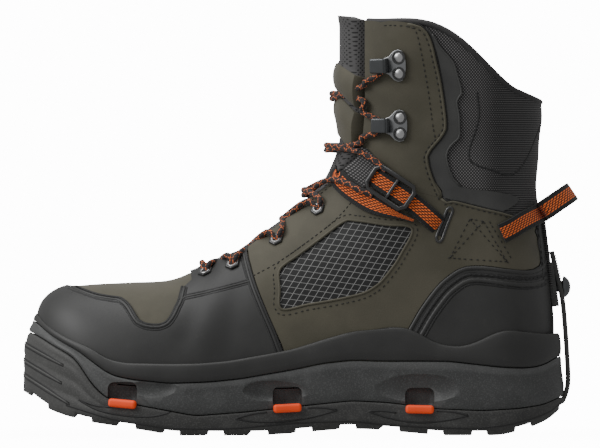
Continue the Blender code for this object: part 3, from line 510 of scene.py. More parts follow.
def drape_shading(obj, angle=35.0):
    """Shades a panel's broad faces as the form under them and leaves its edges as they are."""
    shade(obj, angle)
    mesh = obj.data
    around = [skin_normal(vert.co) for vert in mesh.vertices]
    corners = [corner.vector.copy() for corner in mesh.corner_normals]
    for face in mesh.polygons:
        for k in face.loop_indices:
            normal = around[mesh.loops[k].vertex_index]
            facing = face.normal.dot(normal)
            if abs(facing) > 0.88:
                corners[k] = normal if facing > 0 else -normal
    mesh.normals_split_custom_set(corners)


def on_form(x, z, side, lift):
    """Point and normal on the creased form at a side-view place, lifted."""
    point, normal, face, _ = SKIN.ray_cast(Vector((x, side * 0.2, z)), Vector((0, -side, 0)))
    if point is None:
        point, normal, face, _ = SKIN.find_nearest(Vector((x, CENTRE_Y + side * 0.02, z)))
    normal = sum((FORM.normals[k] for k in FORM.faces[face]), Vector()).normalized()
    return point + normal * lift, normal


def travelled(points):
    """Distance along a route at each of its points."""
    out = [0.0]
    for a, b in zip(points, points[1:]):
        out.append(out[-1] + (b - a).length)
    return out


def loft(bm, rings, closed=False, mapped=None):
    """Skins rings of vertices and caps the ends; mapped gives the UV of a ring and vertex number."""
    count = len(rings[0])
    layer = bm.loops.layers.uv.active
    for i in range(len(rings) if closed else len(rings) - 1):
        near, far = rings[i], rings[(i + 1) % len(rings)]
        for k in range(count):
            n = (k + 1) % count
            face = bm.faces.new((near[k], near[n], far[n], far[k]))
            if mapped:
                for loop, at in zip(face.loops, ((i, k), (i, k + 1), (i + 1, k + 1), (i + 1, k))):
                    loop[layer].uv = mapped(*at)
    if not closed:
        bm.faces.new(rings[0][::-1])
        bm.faces.new(rings[-1])


def tube(points, radius, sides=8, closed=False, normals=None, squash=1.0, mapped=False):
    """Round cord along a route, flattened towards the normals; mapped gives it UVs along and around."""
    bm = bmesh.new()
    if mapped:
        bm.loops.layers.uv.new("UVMap")
    rings, carried, count = [], None, len(points)
    for i, point in enumerate(points):
        before = points[i - 1] if i or closed else points[i]
        after = points[(i + 1) % count] if i < count - 1 or closed else points[i]
        along = (after - before).normalized()
        if normals:
            carried = normals[i]
        elif carried is None:
            carried = along.orthogonal()
        carried = (carried - along * carried.dot(along)).normalized()
        other = along.cross(carried)
        ring = []
        for k in range(sides):
            turn = 2 * math.pi * k / sides
            flat_way = carried * math.cos(turn) * radius * squash
            ring.append(bm.verts.new(point + flat_way + other * math.sin(turn) * radius))
        rings.append(ring)
    distance = travelled(points)
    loft(bm, rings, closed, (lambda i, k: (distance[i], k / sides)) if mapped else None)
    return bm


def join_into(target, source):
    """Adds the faces of one bmesh to another and frees it."""
    mesh = bpy.data.meshes.new("joined")
    source.to_mesh(mesh)
    source.free()
    target.from_mesh(mesh)
    bpy.data.meshes.remove(mesh)


# %% [markdown]
# ## Materials
# Shader maths is written as Python expressions. Every pattern reads Object coordinates in metres, or a
# piece's own UV map where it follows a strap or cord, so that weave, grain and wear have their real
# size.

# %% Shader expressions


def shader_node(tree, kind, sockets, out=0, **settings):
    """Adds a node, sets it, fills its sockets by name or number and gives back one output."""
    made = tree.nodes.new(kind)
    for name, value in settings.items():
        setattr(made, name, value)
    for place, value in sockets.items():
        plug(tree, made.inputs[place], value)
    return Value(tree, made.outputs[out])


class Value:
    """A shader socket with arithmetic."""

    def __init__(self, tree, socket):
        self.tree, self.socket = tree, socket

    def math(self, operation, *others):
        sockets = dict(enumerate((self, *others)))
        return shader_node(self.tree, "ShaderNodeMath", sockets, operation=operation)

    def __add__(self, other):
        return self.math("ADD", other)

    def __mul__(self, other):
        return self.math("MULTIPLY", other)

    def __sub__(self, other):
        return self.math("SUBTRACT", other)

    def __rsub__(self, other):
        return (self * -1) + other

    __radd__, __rmul__ = __add__, __mul__

    def wave(self):
        """Sine of the value counted in turns, from 0 to 1."""
        return (self * (2 * math.pi)).math("SINE") * 0.5 + 0.5

    def ramp(self, low, high):
        """0 below low, 1 above high, soft between."""
        sockets = {"Value": self, "From Min": low, "From Max": high}
        return shader_node(self.tree, "ShaderNodeMapRange", sockets, interpolation_type="SMOOTHSTEP")


def plug(tree, place, value):
    """Sets a socket to a number or colour, or links it to an expression."""
    if isinstance(value, Value):
        tree.links.new(value.socket, place)
    elif isinstance(value, (tuple, list)) and len(value) == 3 and place.type == "RGBA":
        place.default_value = (*value, 1.0)
    else:
        place.default_value = value


class Material:
    """A Principled material built from expressions."""

    def __init__(self, name, source="Object"):
        self.mat = bpy.data.materials.new(name)
        self.mat.use_nodes = True
        self.tree = self.mat.node_tree
        self.shader = self.tree.nodes["Principled BSDF"]
        self.place = shader_node(self.tree, "ShaderNodeTexCoord", {}, source)
        split = shader_node(self.tree, "ShaderNodeSeparateXYZ", {0: self.place}).socket.node
        self.x, self.y, self.z = (Value(self.tree, out) for out in split.outputs)

    def noise(self, scale, detail=3.0, roughness=0.55):
        sockets = {"Vector": self.place, "Scale": scale, "Detail": detail, "Roughness": roughness}
        return shader_node(self.tree, "ShaderNodeTexNoise", sockets)

    def cells(self, scale):
        sockets = {"Vector": self.place, "Scale": scale}
        return shader_node(self.tree, "ShaderNodeTexVoronoi", sockets, "Distance")

    def edge_wear(self):
        """Share of a point that lies on an outward edge."""
        return shader_node(self.tree, "ShaderNodeNewGeometry", {}, "Pointiness").ramp(0.53, 0.60)

    def mix(self, amount, low, high):
        return shader_node(self.tree, "ShaderNodeMix", {0: amount, 6: low, 7: high}, 2, data_type="RGBA")

    def bump(self, height, distance, strength=1.0):
        sockets = {"Strength": strength, "Distance": distance, "Height": height}
        return shader_node(self.tree, "ShaderNodeBump", sockets)

    def done(self, color, roughness, normal=None, metallic=0.0, coat=0.0, sheen=0.0, specular=0.5):
        sockets = {"Base Color": color, "Roughness": roughness, "Metallic": metallic, "Coat Weight": coat,
                   "Coat Roughness": 0.3, "Sheen Weight": sheen, "Sheen Roughness": 0.5,
                   "Specular IOR Level": specular}
        for name, value in sockets.items():
            plug(self.tree, self.shader.inputs[name], value)
        if normal:
            plug(self.tree, self.shader.inputs["Normal"], normal)
        return self.mat


# %% [markdown]
# ### The boot's own materials
# Colours are linear values: olive coated fabric, black ballistic mesh, smooth black rubber, greyer
# tread rubber, orange plastic and dark plated metal.

# %% Material recipes


def olive_fabric():
    """Matt coated microfibre: fine pebble grain, slow colour drift and faint scuffs."""
    m = Material("olive_fabric_look")
    grain = m.noise(1800, 2.0)
    drift = m.noise(38, 3.0)
    scuff = m.noise(240, 4.0, 0.7).ramp(0.58, 0.78)
    color = m.mix(drift.ramp(0.3, 0.7), (0.060, 0.055, 0.037), (0.078, 0.071, 0.049))
    color = m.mix(scuff * 0.12, color, (0.15, 0.14, 0.11))
    height = grain * 0.6 + m.cells(1500) * 0.4
    return m.done(color, 0.62 + grain * 0.14, m.bump(height, 0.00010, 0.6), sheen=0.12, specular=0.35)


def smooth_rubber():
    """Low-sheen moulded rubber with fine grain and a few pale rubs."""
    m = Material("smooth_rubber_look")
    grain = m.noise(2600, 2.0)
    drift = m.noise(30, 3.0)
    rub = m.noise(150, 5.0, 0.7).ramp(0.60, 0.80)
    color = m.mix(drift.ramp(0.3, 0.7), (0.020, 0.020, 0.0195), (0.029, 0.029, 0.028))
    color = m.mix(rub * 0.15, color, (0.09, 0.09, 0.085))
    return m.done(color, 0.47 + drift * 0.10 + rub * 0.06, m.bump(grain, 0.00006, 0.5), specular=0.45)


def dark_rubber(name, base, pale, roughness, grain_scale):
    """Moulded sole rubber: stipple, dusty hollows and paler edges."""
    m = Material(name)
    stipple = m.cells(grain_scale)
    drift = m.noise(45, 4.0)
    dust = m.noise(95, 5.0, 0.65).ramp(0.50, 0.72)
    color = m.mix(drift.ramp(0.3, 0.7), base, tuple(c * 1.25 for c in base))
    color = m.mix(m.edge_wear() * 0.25, color, pale)
    color = m.mix(dust * 0.22, color, pale)
    color = m.mix(m.noise(grain_scale * 0.9, 1.0).ramp(0.50, 0.68) * 0.30, color, pale)
    # Painted light: the toe end is painted paler, as if light from the toe end falls on it
    color = m.mix(m.x.ramp(0.100, 0.150) * 0.22, color, pale)
    height = stipple * 0.7 + m.noise(grain_scale * 1.4, 2.0) * 0.3
    return m.done(color, roughness + dust * 0.10, m.bump(height, 0.00014, 0.55), specular=0.4)


def ballistic_mesh():
    """Black ballistic cloth: basket of fine yarns with small pits at 1.7 mm."""
    m = Material("dark_fabric_look")
    pitch = 1 / 0.00175
    across = m.x * pitch + m.y * (pitch * 0.6)
    down = m.z * (pitch * 0.9)
    weave = across.wave() * down.wave()
    offset = (across + 0.5).wave() * (down + 0.5).wave()
    # Towards the back seam the cloth turns to level ribs
    ribbed = 1 - m.x.ramp(-0.124, -0.104)
    height = weave.math("MAXIMUM", offset) * (1 - ribbed) + (m.z * (pitch * 1.35)).wave() * ribbed * 0.68
    drift = m.noise(60, 3.0)
    color = m.mix(height.ramp(0.35, 0.95), (0.017, 0.017, 0.017), (0.170, 0.162, 0.162))
    color = m.mix(drift.ramp(0.55, 0.8) * 0.25, color, (0.060, 0.058, 0.058))
    fibre = m.noise(3200, 2.0)
    normal = m.bump(height + fibre * 0.2, 0.00022, 0.8)
    return m.done(color, 0.74 + fibre * 0.12, normal, sheen=0.10, specular=0.3)


def knit_mesh():
    """Open spacer mesh of the tongue: small diamond holes in a black knit."""
    m = Material("dark_mesh_look")
    pitch = 1 / 0.0026
    across = m.y + m.x
    one = (across * pitch + m.z * pitch).wave()
    two = (across * pitch - m.z * pitch).wave()
    hole = (one * two).ramp(0.35, 0.70)
    color = m.mix(hole, (0.062, 0.060, 0.060), (0.006, 0.006, 0.006))
    fibre = m.noise(2800, 2.0)
    normal = m.bump(fibre * 0.2 - hole, 0.00035, 0.9)
    return m.done(color, 0.78 + fibre * 0.1, normal, sheen=0.08, specular=0.3)


def grid_mesh():
    """Window mesh: silver-grey threads in a slanted grid over black."""
    m = Material("grid_mesh_look")
    pitch = 1 / 0.0037
    rows = (m.z * (pitch * 1.04) + m.x * (pitch * -0.15) + m.noise(60, 2.0) * 0.10)
    posts = (m.x * (pitch * 0.80) + m.z * (pitch * 0.50) + m.noise(70, 2.0) * 0.08)
    line = (rows.wave().ramp(0.955, 0.99)).math("MAXIMUM", posts.wave().ramp(0.955, 0.990))
    fibre = m.noise(2600, 2.0)
    color = m.mix(line, (0.004, 0.004, 0.004), (0.20, 0.20, 0.195))
    return m.done(color, 0.55 + fibre * 0.15, m.bump(line + fibre * 0.15, 0.00030, 1.0), specular=0.45)


def gusset_film():
    """Grey coated band behind the shaft panel."""
    m = Material("gusset_look")
    grain = m.noise(2200, 2.0)
    color = m.mix(m.noise(50, 3.0).ramp(0.3, 0.7), (0.030, 0.030, 0.029), (0.044, 0.044, 0.042))
    return m.done(color, 0.52 + grain * 0.1, m.bump(grain, 0.00006, 0.5))


def plain_plastic(name, color, roughness, metallic=0.0, coat=0.0):
    """Moulded plastic or plated metal with slow shade drift and paler edges."""
    m = Material(name)
    fine = m.noise(2400, 2.0)
    shade_of = m.mix(m.noise(120, 3.0).ramp(0.35, 0.7) * 0.35, color, tuple(c * 0.7 for c in color))
    shade_of = m.mix(m.edge_wear() * 0.35, shade_of, tuple(min(c * 1.6 + 0.03, 1.0) for c in color))
    normal = m.bump(fine, 0.00003, 0.5)
    return m.done(shade_of, roughness + fine * 0.10, normal, metallic=metallic, coat=coat)


def webbing():
    """Woven strap on its own UV map: black selvedges and an orange and black herringbone between."""
    m = Material("webbing_look", "UV")
    # U runs along the strap in metres, V across it from 0 to 1
    edge = (m.y - 0.5).math("ABSOLUTE").ramp(0.27, 0.31)
    band = m.y * 10.0
    row = band.math("FLOOR")
    inside_row = band - row
    along = (m.x * (1 / 0.0027) + row * 0.5 + inside_row * 0.6).math("FRACT")
    long_way = (along - 0.5).math("ABSOLUTE").ramp(0.29, 0.38)
    wide_way = (inside_row - 0.5).math("ABSOLUTE").ramp(0.24, 0.36)
    orange = (1 - long_way) * (1 - wide_way)
    color = m.mix(orange, (0.020, 0.010, 0.008), (0.98, 0.185, 0.028))
    color = m.mix(edge, color, (0.013, 0.013, 0.013))
    height = orange * 0.6 + (m.x * (1 / 0.0012)).wave() * 0.3 + m.noise(600, 2.0) * 0.2
    return m.done(color, 0.78, m.bump(height, 0.00030, 0.8), sheen=0.1, specular=0.3)


def lace_cord():
    """Round braided lace on its own UV map: charcoal with orange picks in a spiral."""
    m = Material("lace_look", "UV")
    # U runs along the lace in metres, V once around it
    sway = (m.x * (1 / 0.0066)).wave() * 0.34 - 0.17
    dash = (m.x * (1 / 0.0017) + m.y).math("FRACT").ramp(0.28, 0.38)
    one = ((m.y * 2 + sway).math("FRACT") - 0.5).math("ABSOLUTE")
    two = ((m.y * 2 - sway + 0.5).math("FRACT") - 0.5).math("ABSOLUTE")
    braid = (m.x * (1 / 0.0013) + m.y * 4.0).wave() * (m.x * (1 / 0.0013) - m.y * 4.0).wave()
    fleck = (1 - one.math("MINIMUM", two).ramp(0.045, 0.085)) * dash
    color = m.mix(fleck, (0.022, 0.020, 0.021), (0.68, 0.17, 0.05))
    return m.done(color, 0.75, m.bump(braid, 0.00025, 0.9), sheen=0.1, specular=0.3)


def thread(name, color):
    m = Material(name)
    twist = (m.x * 2600 + m.z * 2600).wave()
    return m.done(m.mix(twist, tuple(c * 0.7 for c in color), color), 0.6, m.bump(twist, 0.00005, 0.6))


OLIVE = olive_fabric()
RUBBER = smooth_rubber()
TREAD_RUBBER = dark_rubber("sole_rubber_look", (0.029, 0.029, 0.028), (0.12, 0.12, 0.115), 0.62, 1500)
FRAME_RUBBER = dark_rubber("frame_rubber_look", (0.040, 0.041, 0.0405), (0.135, 0.137, 0.136), 0.56, 1500)
CLOTH = ballistic_mesh()
KNIT = knit_mesh()
GRID = grid_mesh()
FILM = gusset_film()
ORANGE = plain_plastic("orange_look", (1.0, 0.070, 0.002), 0.55)
BLACK_GLOSS = plain_plastic("black_gloss_look", (0.012, 0.012, 0.012), 0.26, coat=0.3)
GUNMETAL = plain_plastic("gunmetal_look", (0.090, 0.094, 0.097), 0.30, metallic=0.9)
PLATED = plain_plastic("plated_look", (0.26, 0.265, 0.27), 0.24, metallic=1.0)
STEEL = plain_plastic("steel_look", (0.42, 0.42, 0.42), 0.28, metallic=1.0)
WEBBING = webbing()
LACE = lace_cord()
BINDING = thread("binding_look", (0.024, 0.023, 0.023))
# Near-black thread for the stitches; the same colour is also painted shade in the seam and sole grooves,
# the eyelets' holes and the strap slots
DARK_THREAD_AND_SHADE = thread("dark_thread_and_shade_look", (0.007, 0.007, 0.007))
print("materials", len(bpy.data.materials))

# %% [markdown]
# ## The sole
# The outsole, the frame above it and the smooth band are lofts along the length. Their height lines
# are those of the frame's solids with eased corners. The outsole's underside steps between lugs and
# grooves, its toe wraps up as a ribbed bumper, and a block of the last hollows all three.

# %% Sole tables
SOLE_PLAN = (
    (0.00, 0.300, 0.300), (0.05, 0.338, 0.338), (0.10, 0.370, 0.370), (0.20, 0.402, 0.402),
    (0.35, 0.390, 0.370), (0.50, 0.418, 0.373), (0.60, 0.464, 0.418), (0.70, 0.518, 0.473),
    (0.78, 0.527, 0.491), (0.85, 0.500, 0.473), (0.92, 0.450, 0.441), (0.96, 0.418, 0.418),
    (1.00, 0.382, 0.382),
)
OUTSOLE_TOP = (
    (0.000, 0.664), (0.039, 0.500), (0.089, 0.434), (0.153, 0.402), (0.242, 0.434), (0.323, 0.533),
    (0.393, 0.565), (0.483, 0.483), (0.585, 0.385), (0.681, 0.320), (0.764, 0.459), (0.843, 0.598),
    (0.871, 0.828), (0.900, 1.254), (0.930, 1.401), (0.9735, 1.614), (1.000, 1.700),
)
LUG_BASE = (
    (0.000, 0.598), (0.024, 0.467), (0.057, 0.303), (0.120, 0.166), (0.185, 0.110), (0.268, 0.098),
    (0.387, 0.172), (0.544, 0.107), (0.620, 0.098), (0.729, 0.115), (0.814, 0.262), (0.876, 0.350),
    (0.932, 0.395), (0.969, 0.560), (1.000, 0.750),
)
TREAD = (
    (0.000, 0.533), (0.028, 0.270), (0.068, 0.115), (0.120, 0.000), (0.231, 0.000), (0.304, 0.057),
    (0.356, 0.098), (0.397, 0.107), (0.443, 0.082), (0.489, 0.041), (0.563, 0.000), (0.721, 0.000),
    (0.766, 0.074), (0.803, 0.123), (0.876, 0.221), (0.923, 0.328), (0.954, 0.434), (1.000, 0.740),
)
BAND_LOW = (
    (0.000, 1.352), (0.042, 1.132), (0.074, 1.090), (0.120, 1.106), (0.216, 1.205), (0.341, 1.205),
    (0.393, 1.221), (0.446, 1.172), (0.498, 1.073), (0.600, 0.918), (0.655, 0.869), (0.727, 0.847),
    (0.799, 0.910), (0.836, 0.985), (0.860, 1.131), (0.897, 1.385), (0.9466, 1.614), (0.990, 1.860),
    (1.000, 1.900),
)
BAND_TOP = (
    (0.000, 1.663), (0.042, 1.650), (0.108, 1.721), (0.133, 1.663), (0.159, 1.541), (0.185, 1.459),
    (0.208, 1.450), (0.238, 1.500), (0.262, 1.622), (0.288, 1.745), (0.314, 1.770), (0.386, 1.713),
    (0.445, 1.565), (0.502, 1.405), (0.548, 1.326), (0.620, 1.213), (0.673, 1.172), (0.729, 1.165),
    (0.814, 1.182), (0.847, 1.262), (0.871, 1.418), (0.916, 1.582), (0.958, 1.770), (0.9955, 2.000),
    (1.000, 2.020),
)
LUG_COUNT, LUG_SHARE, LUG_STEP = 12, 0.62, 0.0012
LUG_DEPTH = 0.0026
LUG_START = 0.012
LUG_PITCH = 0.97 / LUG_COUNT
LUG_LENGTH = LUG_PITCH * LUG_SHARE
SEAM = 0.00025


def sole_half(u, side):
    """Half width of the sole at a share of the length, with round heel and toe."""
    width = 0.0
    for k in (-1, 0, 1):
        width += table_value(SOLE_PLAN, min(max(u + k * 0.02, 0.0), 1.0), 1 if side > 0 else 2) / 3
    heel = 1 - (1 - min(u / 0.13, 1.0)) ** 2.2
    toe = 1 - (1 - min((1 - u) / 0.16, 1.0)) ** 2.2
    return (width * BALL_WIDTH + SOLE_MARGIN) * (max(heel, 0.0) * max(toe, 0.0)) ** (1 / 2.2)


def toe_lean(u, z):
    """How far the toe's wrap leans back at a height."""
    rise = max(z / SEAT_HEIGHT - 1.35, 0.0) / 0.66
    return 0.0065 * rise ** 1.5 * smooth(0.88, 1.0, u)


def sole_rows(extra=()):
    rows = [0.0012, 0.003, 0.006, 0.010, 0.015, 0.021, 0.028, 0.036]
    rows += steps(0.045, 0.955, 0.01)
    rows += [0.962, 0.969, 0.975, 0.981, 0.986, 0.990, 0.994, 0.997, 0.9988]
    return sorted(set(rows) | set(extra))


def sole_layer(rows, section):
    """Closed loft: section gives a ring of (y, z, inset) at a share of the length."""
    bm = bmesh.new()
    rings = []
    for u in rows:
        ring = []
        for y, z, inset in section(u):
            x = HEEL_X + min(max(u * BOOT_LENGTH, inset), BOOT_LENGTH - inset) - toe_lean(u, z)
            ring.append(bm.verts.new((x, y + centre_line(u), z)))
        rings.append(ring)
    loft(bm, rings)
    return bm


def side_ring(u, levels):
    right = [(max(sole_half(u, LATERAL) - inset, 0.0012), z, inset) for z, inset in levels]
    left = [(min(inset - sole_half(u, MEDIAL), -0.0012), z, inset) for z, inset in reversed(levels)]
    return right + left


def foot_cutter(offset, top=21.0):
    """Closed block of the last that hollows the sole."""
    rows = [s for s in ROWS[::2] if s < top] + [top]
    form = Form(rows, lambda s: upper_shares(s, 1.0)[::2])
    play = Vector((0, 0, 0.0008))
    points = [p - play if w == 0 else p for p, (s, w, side) in zip(form.lifted(offset), form.params)]
    bm, verts = mesh_of(points, form.faces)
    lateral, medial = form.grids[LATERAL], form.grids[MEDIAL]
    for i in range(len(lateral) - 1):
        ring = distinct([lateral[i][0], lateral[i + 1][0], medial[i + 1][0], medial[i][0]])
        if len(set(ring)) > 2:
            bm.faces.new([verts[k] for k in ring])
    bm.faces.new([verts[k] for k in distinct(lateral[-1] + medial[-1][::-1])])
    return bm


# Height shares of the rings up the outsole's side, and the grooves' places among them
SIDE_SHARES = (0.16, 0.24, 0.28, 0.33, 0.37, 0.45, 0.52, 0.56, 0.61, 0.65, 0.74, 0.80, 0.84, 0.89)
RIB_SHARES = (0.305, 0.585, 0.86)
# Shares across the underside, from medial to lateral, and whether they are on a lug
UNDER_SHARES = (
    (-1.0, 1), (-0.50, 1), (-0.47, 0), (-0.42, 0), (-0.39, 1), (-0.11, 1), (-0.08, 0), (0.08, 0),
    (0.11, 1), (0.39, 1), (0.42, 0), (0.47, 0), (0.50, 1), (1.0, 1),
)
# Height share and inset of each ring of the frame and of the band
FRAME_RINGS = (
    (0.0, 0.0016), (0.06, 0.0009), (0.25, 0.0004), (0.5, 0.0008), (0.75, 0.0012), (0.93, 0.0010),
    (1.0, 0.0016),
)
BAND_RINGS = (
    (0.0, 0.0018), (0.05, 0.0010), (0.3, 0.0007), (0.6, 0.0009), (0.85, 0.0014), (0.95, 0.0019),
    (1.0, 0.0026),
)


def outsole_section(u):
    low = min(line_height(TREAD, u), line_height(LUG_BASE, u))
    floor = low + LUG_DEPTH
    place = (u - LUG_START) % LUG_PITCH
    on_lug = smooth(-LUG_STEP, 0.0005, place) * (1 - smooth(LUG_LENGTH, LUG_LENGTH + LUG_STEP, place))
    tread = lerp(floor, low, on_lug)
    top = line_height(OUTSOLE_TOP, u) - SEAM
    toe = smooth(0.80, 0.90, u)
    levels = [(lerp(floor, top, 0.06), 0.0012)]
    for share in SIDE_SHARES:
        groove = max(bump(centre, 0.03, share) for centre in RIB_SHARES)
        swell = 0.0007 * (1 - toe) * math.sin(math.pi * share)
        levels.append((lerp(floor, top, share), 0.0006 + 0.0011 * toe * groove - swell * 0.6))
    levels.append((lerp(floor, top, 0.97), 0.0008 + 0.0006 * toe))
    levels.append((top, 0.0014 + 0.0010 * toe))
    lateral = max(sole_half(u, LATERAL) - 0.0022, 0.001)
    medial = max(sole_half(u, MEDIAL) - 0.0022, 0.001)
    under = [(share * (lateral if share > 0 else medial), tread if lugged else floor, 0.0)
             for share, lugged in UNDER_SHARES]
    return side_ring(u, levels) + under


def layer_section(u, low, high, rings, toe_step, heel_step, heel_power):
    """Ring of a layer between two heights, drawn in at the toe and towards the heel."""
    heel, toe = 1 - smooth(0.0, 0.08, u), smooth(0.80, 0.90, u)
    levels = []
    for share, inset in rings:
        inset += toe_step * toe
        inset += heel_step * heel * share ** heel_power
        levels.append((lerp(low, high, share), inset))
    return side_ring(u, levels)


def frame_section(u):
    low = line_height(OUTSOLE_TOP, u) + SEAM
    high = max(line_height(BAND_LOW, u) - SEAM, low + 0.001)
    return layer_section(u, low, high, FRAME_RINGS, 0.0006, 0.0016, 1)


def band_section(u):
    low = line_height(BAND_LOW, u) + SEAM
    high = max(line_height(BAND_TOP, u), low + 0.003)
    return layer_section(u, low, high, BAND_RINGS, 0.0007, 0.0018, 0)


lug_edges = []
for number in range(LUG_COUNT + 1):
    start = LUG_START + number * LUG_PITCH
    for edge in (start - LUG_STEP, start, start + LUG_LENGTH, start + LUG_LENGTH + LUG_STEP):
        if 0.002 < edge < 0.998:
            lug_edges.append(round(edge, 5))
outsole = new_object("outsole_moulded", sole_layer(sole_rows(lug_edges), outsole_section), TREAD_RUBBER)
sole_frame = new_object("sole_frame_moulded", sole_layer(sole_rows(), frame_section), FRAME_RUBBER)
band = new_object("midsole_band", sole_layer(sole_rows(), band_section), RUBBER)
for layer in (outsole, sole_frame, band):
    cut(layer, foot_cutter(0.0019), "DIFFERENCE")
print("sole faces", [len(layer.data.polygons) for layer in (outsole, sole_frame, band)])

# %% [markdown]
# ## The upper
# The body is one shell of ballistic cloth, open underneath, at the throat and at the collar. Each
# panel is the part of a thin layer over it that lies inside its side-view outline.

# %% Upper body and vamp
upper = new_object("upper_body", FORM.shell(-WALL, 0.0), CLOTH)
vamp_front = HEEL_X + 0.56 * BOOT_LENGTH
vamp = new_object("vamp", FORM.shell(0.00002, 0.00024, lambda p: p.x > vamp_front), OLIVE)
print("upper faces", len(upper.data.polygons))

# %% Panel outlines
TOE_CAP = (
    (0.911, 0.243), (0.887, 0.230), (0.860, 0.217), (0.832, 0.210), (0.817, 0.206), (0.803, 0.189),
    (0.793, 0.166), (0.784, 0.146), (0.773, 0.138), (0.762, 0.135), (0.747, 0.135), (0.734, 0.143),
    (0.724, 0.163), (0.718, 0.182), (0.712, 0.199), (0.705, 0.238), (0.688, 0.262), (0.688, 0.340),
    (0.587, 0.400), (0.587, 0.341), (0.581, 0.299), (0.570, 0.243), (0.552, 0.174), (0.535, 0.115),
    (0.520, 0.060), (0.500, -0.06), (1.02, -0.06), (1.02, 0.20), (0.960, 0.262),
)
QUARTER = (
    (0.584, 0.400), (0.584, 0.341), (0.578, 0.299), (0.567, 0.243), (0.549, 0.174), (0.532, 0.115),
    (0.517, 0.060), (0.497, -0.06), (0.220, -0.06), (0.200, 0.150), (-0.05, 0.26), (-0.05, 0.40),
    (0.050, 0.416), (0.083, 0.430), (0.120, 0.447), (0.157, 0.461), (0.190, 0.474), (0.208, 0.480),
    (0.220, 0.477), (0.228, 0.488), (0.300, 0.512), (0.420, 0.530), (0.470, 0.560),
)
WINDOW = (
    (0.527, 0.282), (0.513, 0.305), (0.498, 0.320), (0.452, 0.371), (0.407, 0.421), (0.386, 0.424),
    (0.332, 0.413), (0.283, 0.402), (0.304, 0.330), (0.319, 0.294), (0.339, 0.256), (0.354, 0.238),
    (0.371, 0.224), (0.397, 0.213), (0.428, 0.203), (0.474, 0.191), (0.523, 0.178), (0.526, 0.232),
)
COUNTER = (
    (0.300, -0.06), (0.300, 0.100), (0.288, 0.127), (0.269, 0.177), (0.247, 0.224), (0.231, 0.252),
    (0.215, 0.272), (0.199, 0.288), (0.184, 0.296), (0.152, 0.298), (0.105, 0.289), (0.076, 0.285),
    (0.059, 0.289), (0.048, 0.299), (0.043, 0.319), (0.043, 0.349), (0.050, 0.414), (-0.05, 0.416),
    (-0.05, 0.048), (0.070, 0.048), (0.120, -0.06),
)
SHAFT_PANEL = (
    (0.340, 0.975), (0.323, 0.979), (0.290, 0.973), (0.268, 0.964), (0.255, 0.947), (0.245, 0.911),
    (0.238, 0.867), (0.231, 0.822), (0.225, 0.767), (0.220, 0.705), (0.220, 0.678), (0.231, 0.650),
    (0.247, 0.622), (0.254, 0.602), (0.251, 0.572), (0.242, 0.533), (0.228, 0.490), (0.300, 0.514),
    (0.418, 0.534), (0.450, 0.560), (0.450, 0.975),
)
GUSSET = (
    (0.260, 0.965), (0.242, 0.911), (0.228, 0.822), (0.217, 0.705), (0.217, 0.678), (0.228, 0.648),
    (0.244, 0.620), (0.251, 0.602), (0.248, 0.572), (0.239, 0.533), (0.225, 0.488), (0.206, 0.482),
    (0.157, 0.463), (0.120, 0.449), (0.085, 0.486), (0.135, 0.506), (0.178, 0.512), (0.194, 0.520),
    (0.207, 0.540), (0.216, 0.572), (0.220, 0.608), (0.212, 0.633), (0.197, 0.655), (0.196, 0.678),
    (0.197, 0.719), (0.201, 0.756), (0.192, 0.778), (0.194, 0.795), (0.201, 0.831), (0.208, 0.864),
    (0.232, 0.907), (0.246, 0.942),
)
# Dark cloth over the flex zone between quarter and shaft panel, at the throat
FLEX_PATCH = (
    (0.3500, 0.600), (0.3500, 0.555), (0.3640, 0.520), (0.3930, 0.522), (0.4336, 0.550),
    (0.4336, 0.622), (0.3930, 0.636), (0.3650, 0.624),
)
print("panel outlines", [len(rows) for rows in (TOE_CAP, QUARTER, WINDOW, COUNTER, SHAFT_PANEL, GUSSET)])

# %% Cut the panels


def panel(name, outline, mat, low, high, side=None, minus=()):
    """Part of a layer between two lifts that lies inside a side-view outline."""
    flat = [Vector(side_place(u, v)) for u, v in outline]
    xs, zs = [p.x for p in flat], [p.y for p in flat]
    margin = 0.006

    def near(p):
        return (min(xs) - margin < p.x < max(xs) + margin and min(zs) - margin < p.z < max(zs) + margin
                and (side is None or p.y * side > -margin))

    obj = new_object(name, FORM.shell(low, high, near), mat)
    cut(obj, prism(smooth_outline(outline), *half_space(side, 0.0006)), "INTERSECT")
    for other in minus:
        cut(obj, prism(grown(smooth_outline(other), 0.0006), -BALL_WIDTH, BALL_WIDTH), "DIFFERENCE")
    round_edges(obj, 0.0004)
    drape_shading(obj)
    return obj


panels = {"toe_cap": panel("toe_cap_rubber", TOE_CAP, RUBBER, 0.0003, 0.0017)}
panels["heel_counter"] = panel("heel_counter_rubber", COUNTER, RUBBER, 0.0003, 0.0017)
# Node, piece, outline, material, lifts of its two faces and the outlines left out of it
SIDE_PANELS = (
    ("quarter", "quarter_cloth", QUARTER, OLIVE, 0.0003, 0.0013, (WINDOW, COUNTER)),
    ("mesh_window", "window_grid", WINDOW, GRID, 0.0001, 0.0005, ()),
    ("shaft_panel", "shaft_cloth", SHAFT_PANEL, OLIVE, 0.0003, 0.0014, ()),
    ("gusset", "gusset_film", GUSSET, FILM, 0.0003, 0.0008, (SHAFT_PANEL,)),
)
for side, tag in TAGS:
    for node, piece, outline, mat, low, high, minus in SIDE_PANELS:
        panels[f"{node}_{tag}"] = panel(f"{piece}_{tag}", outline, mat, low, high, side, minus)
patches = [panel("flex_patch_" + tag, FLEX_PATCH, CLOTH, 0.0004, 0.0022, side) for side, tag in TAGS]
print("panel faces", {name: len(obj.data.polygons) for name, obj in panels.items()})

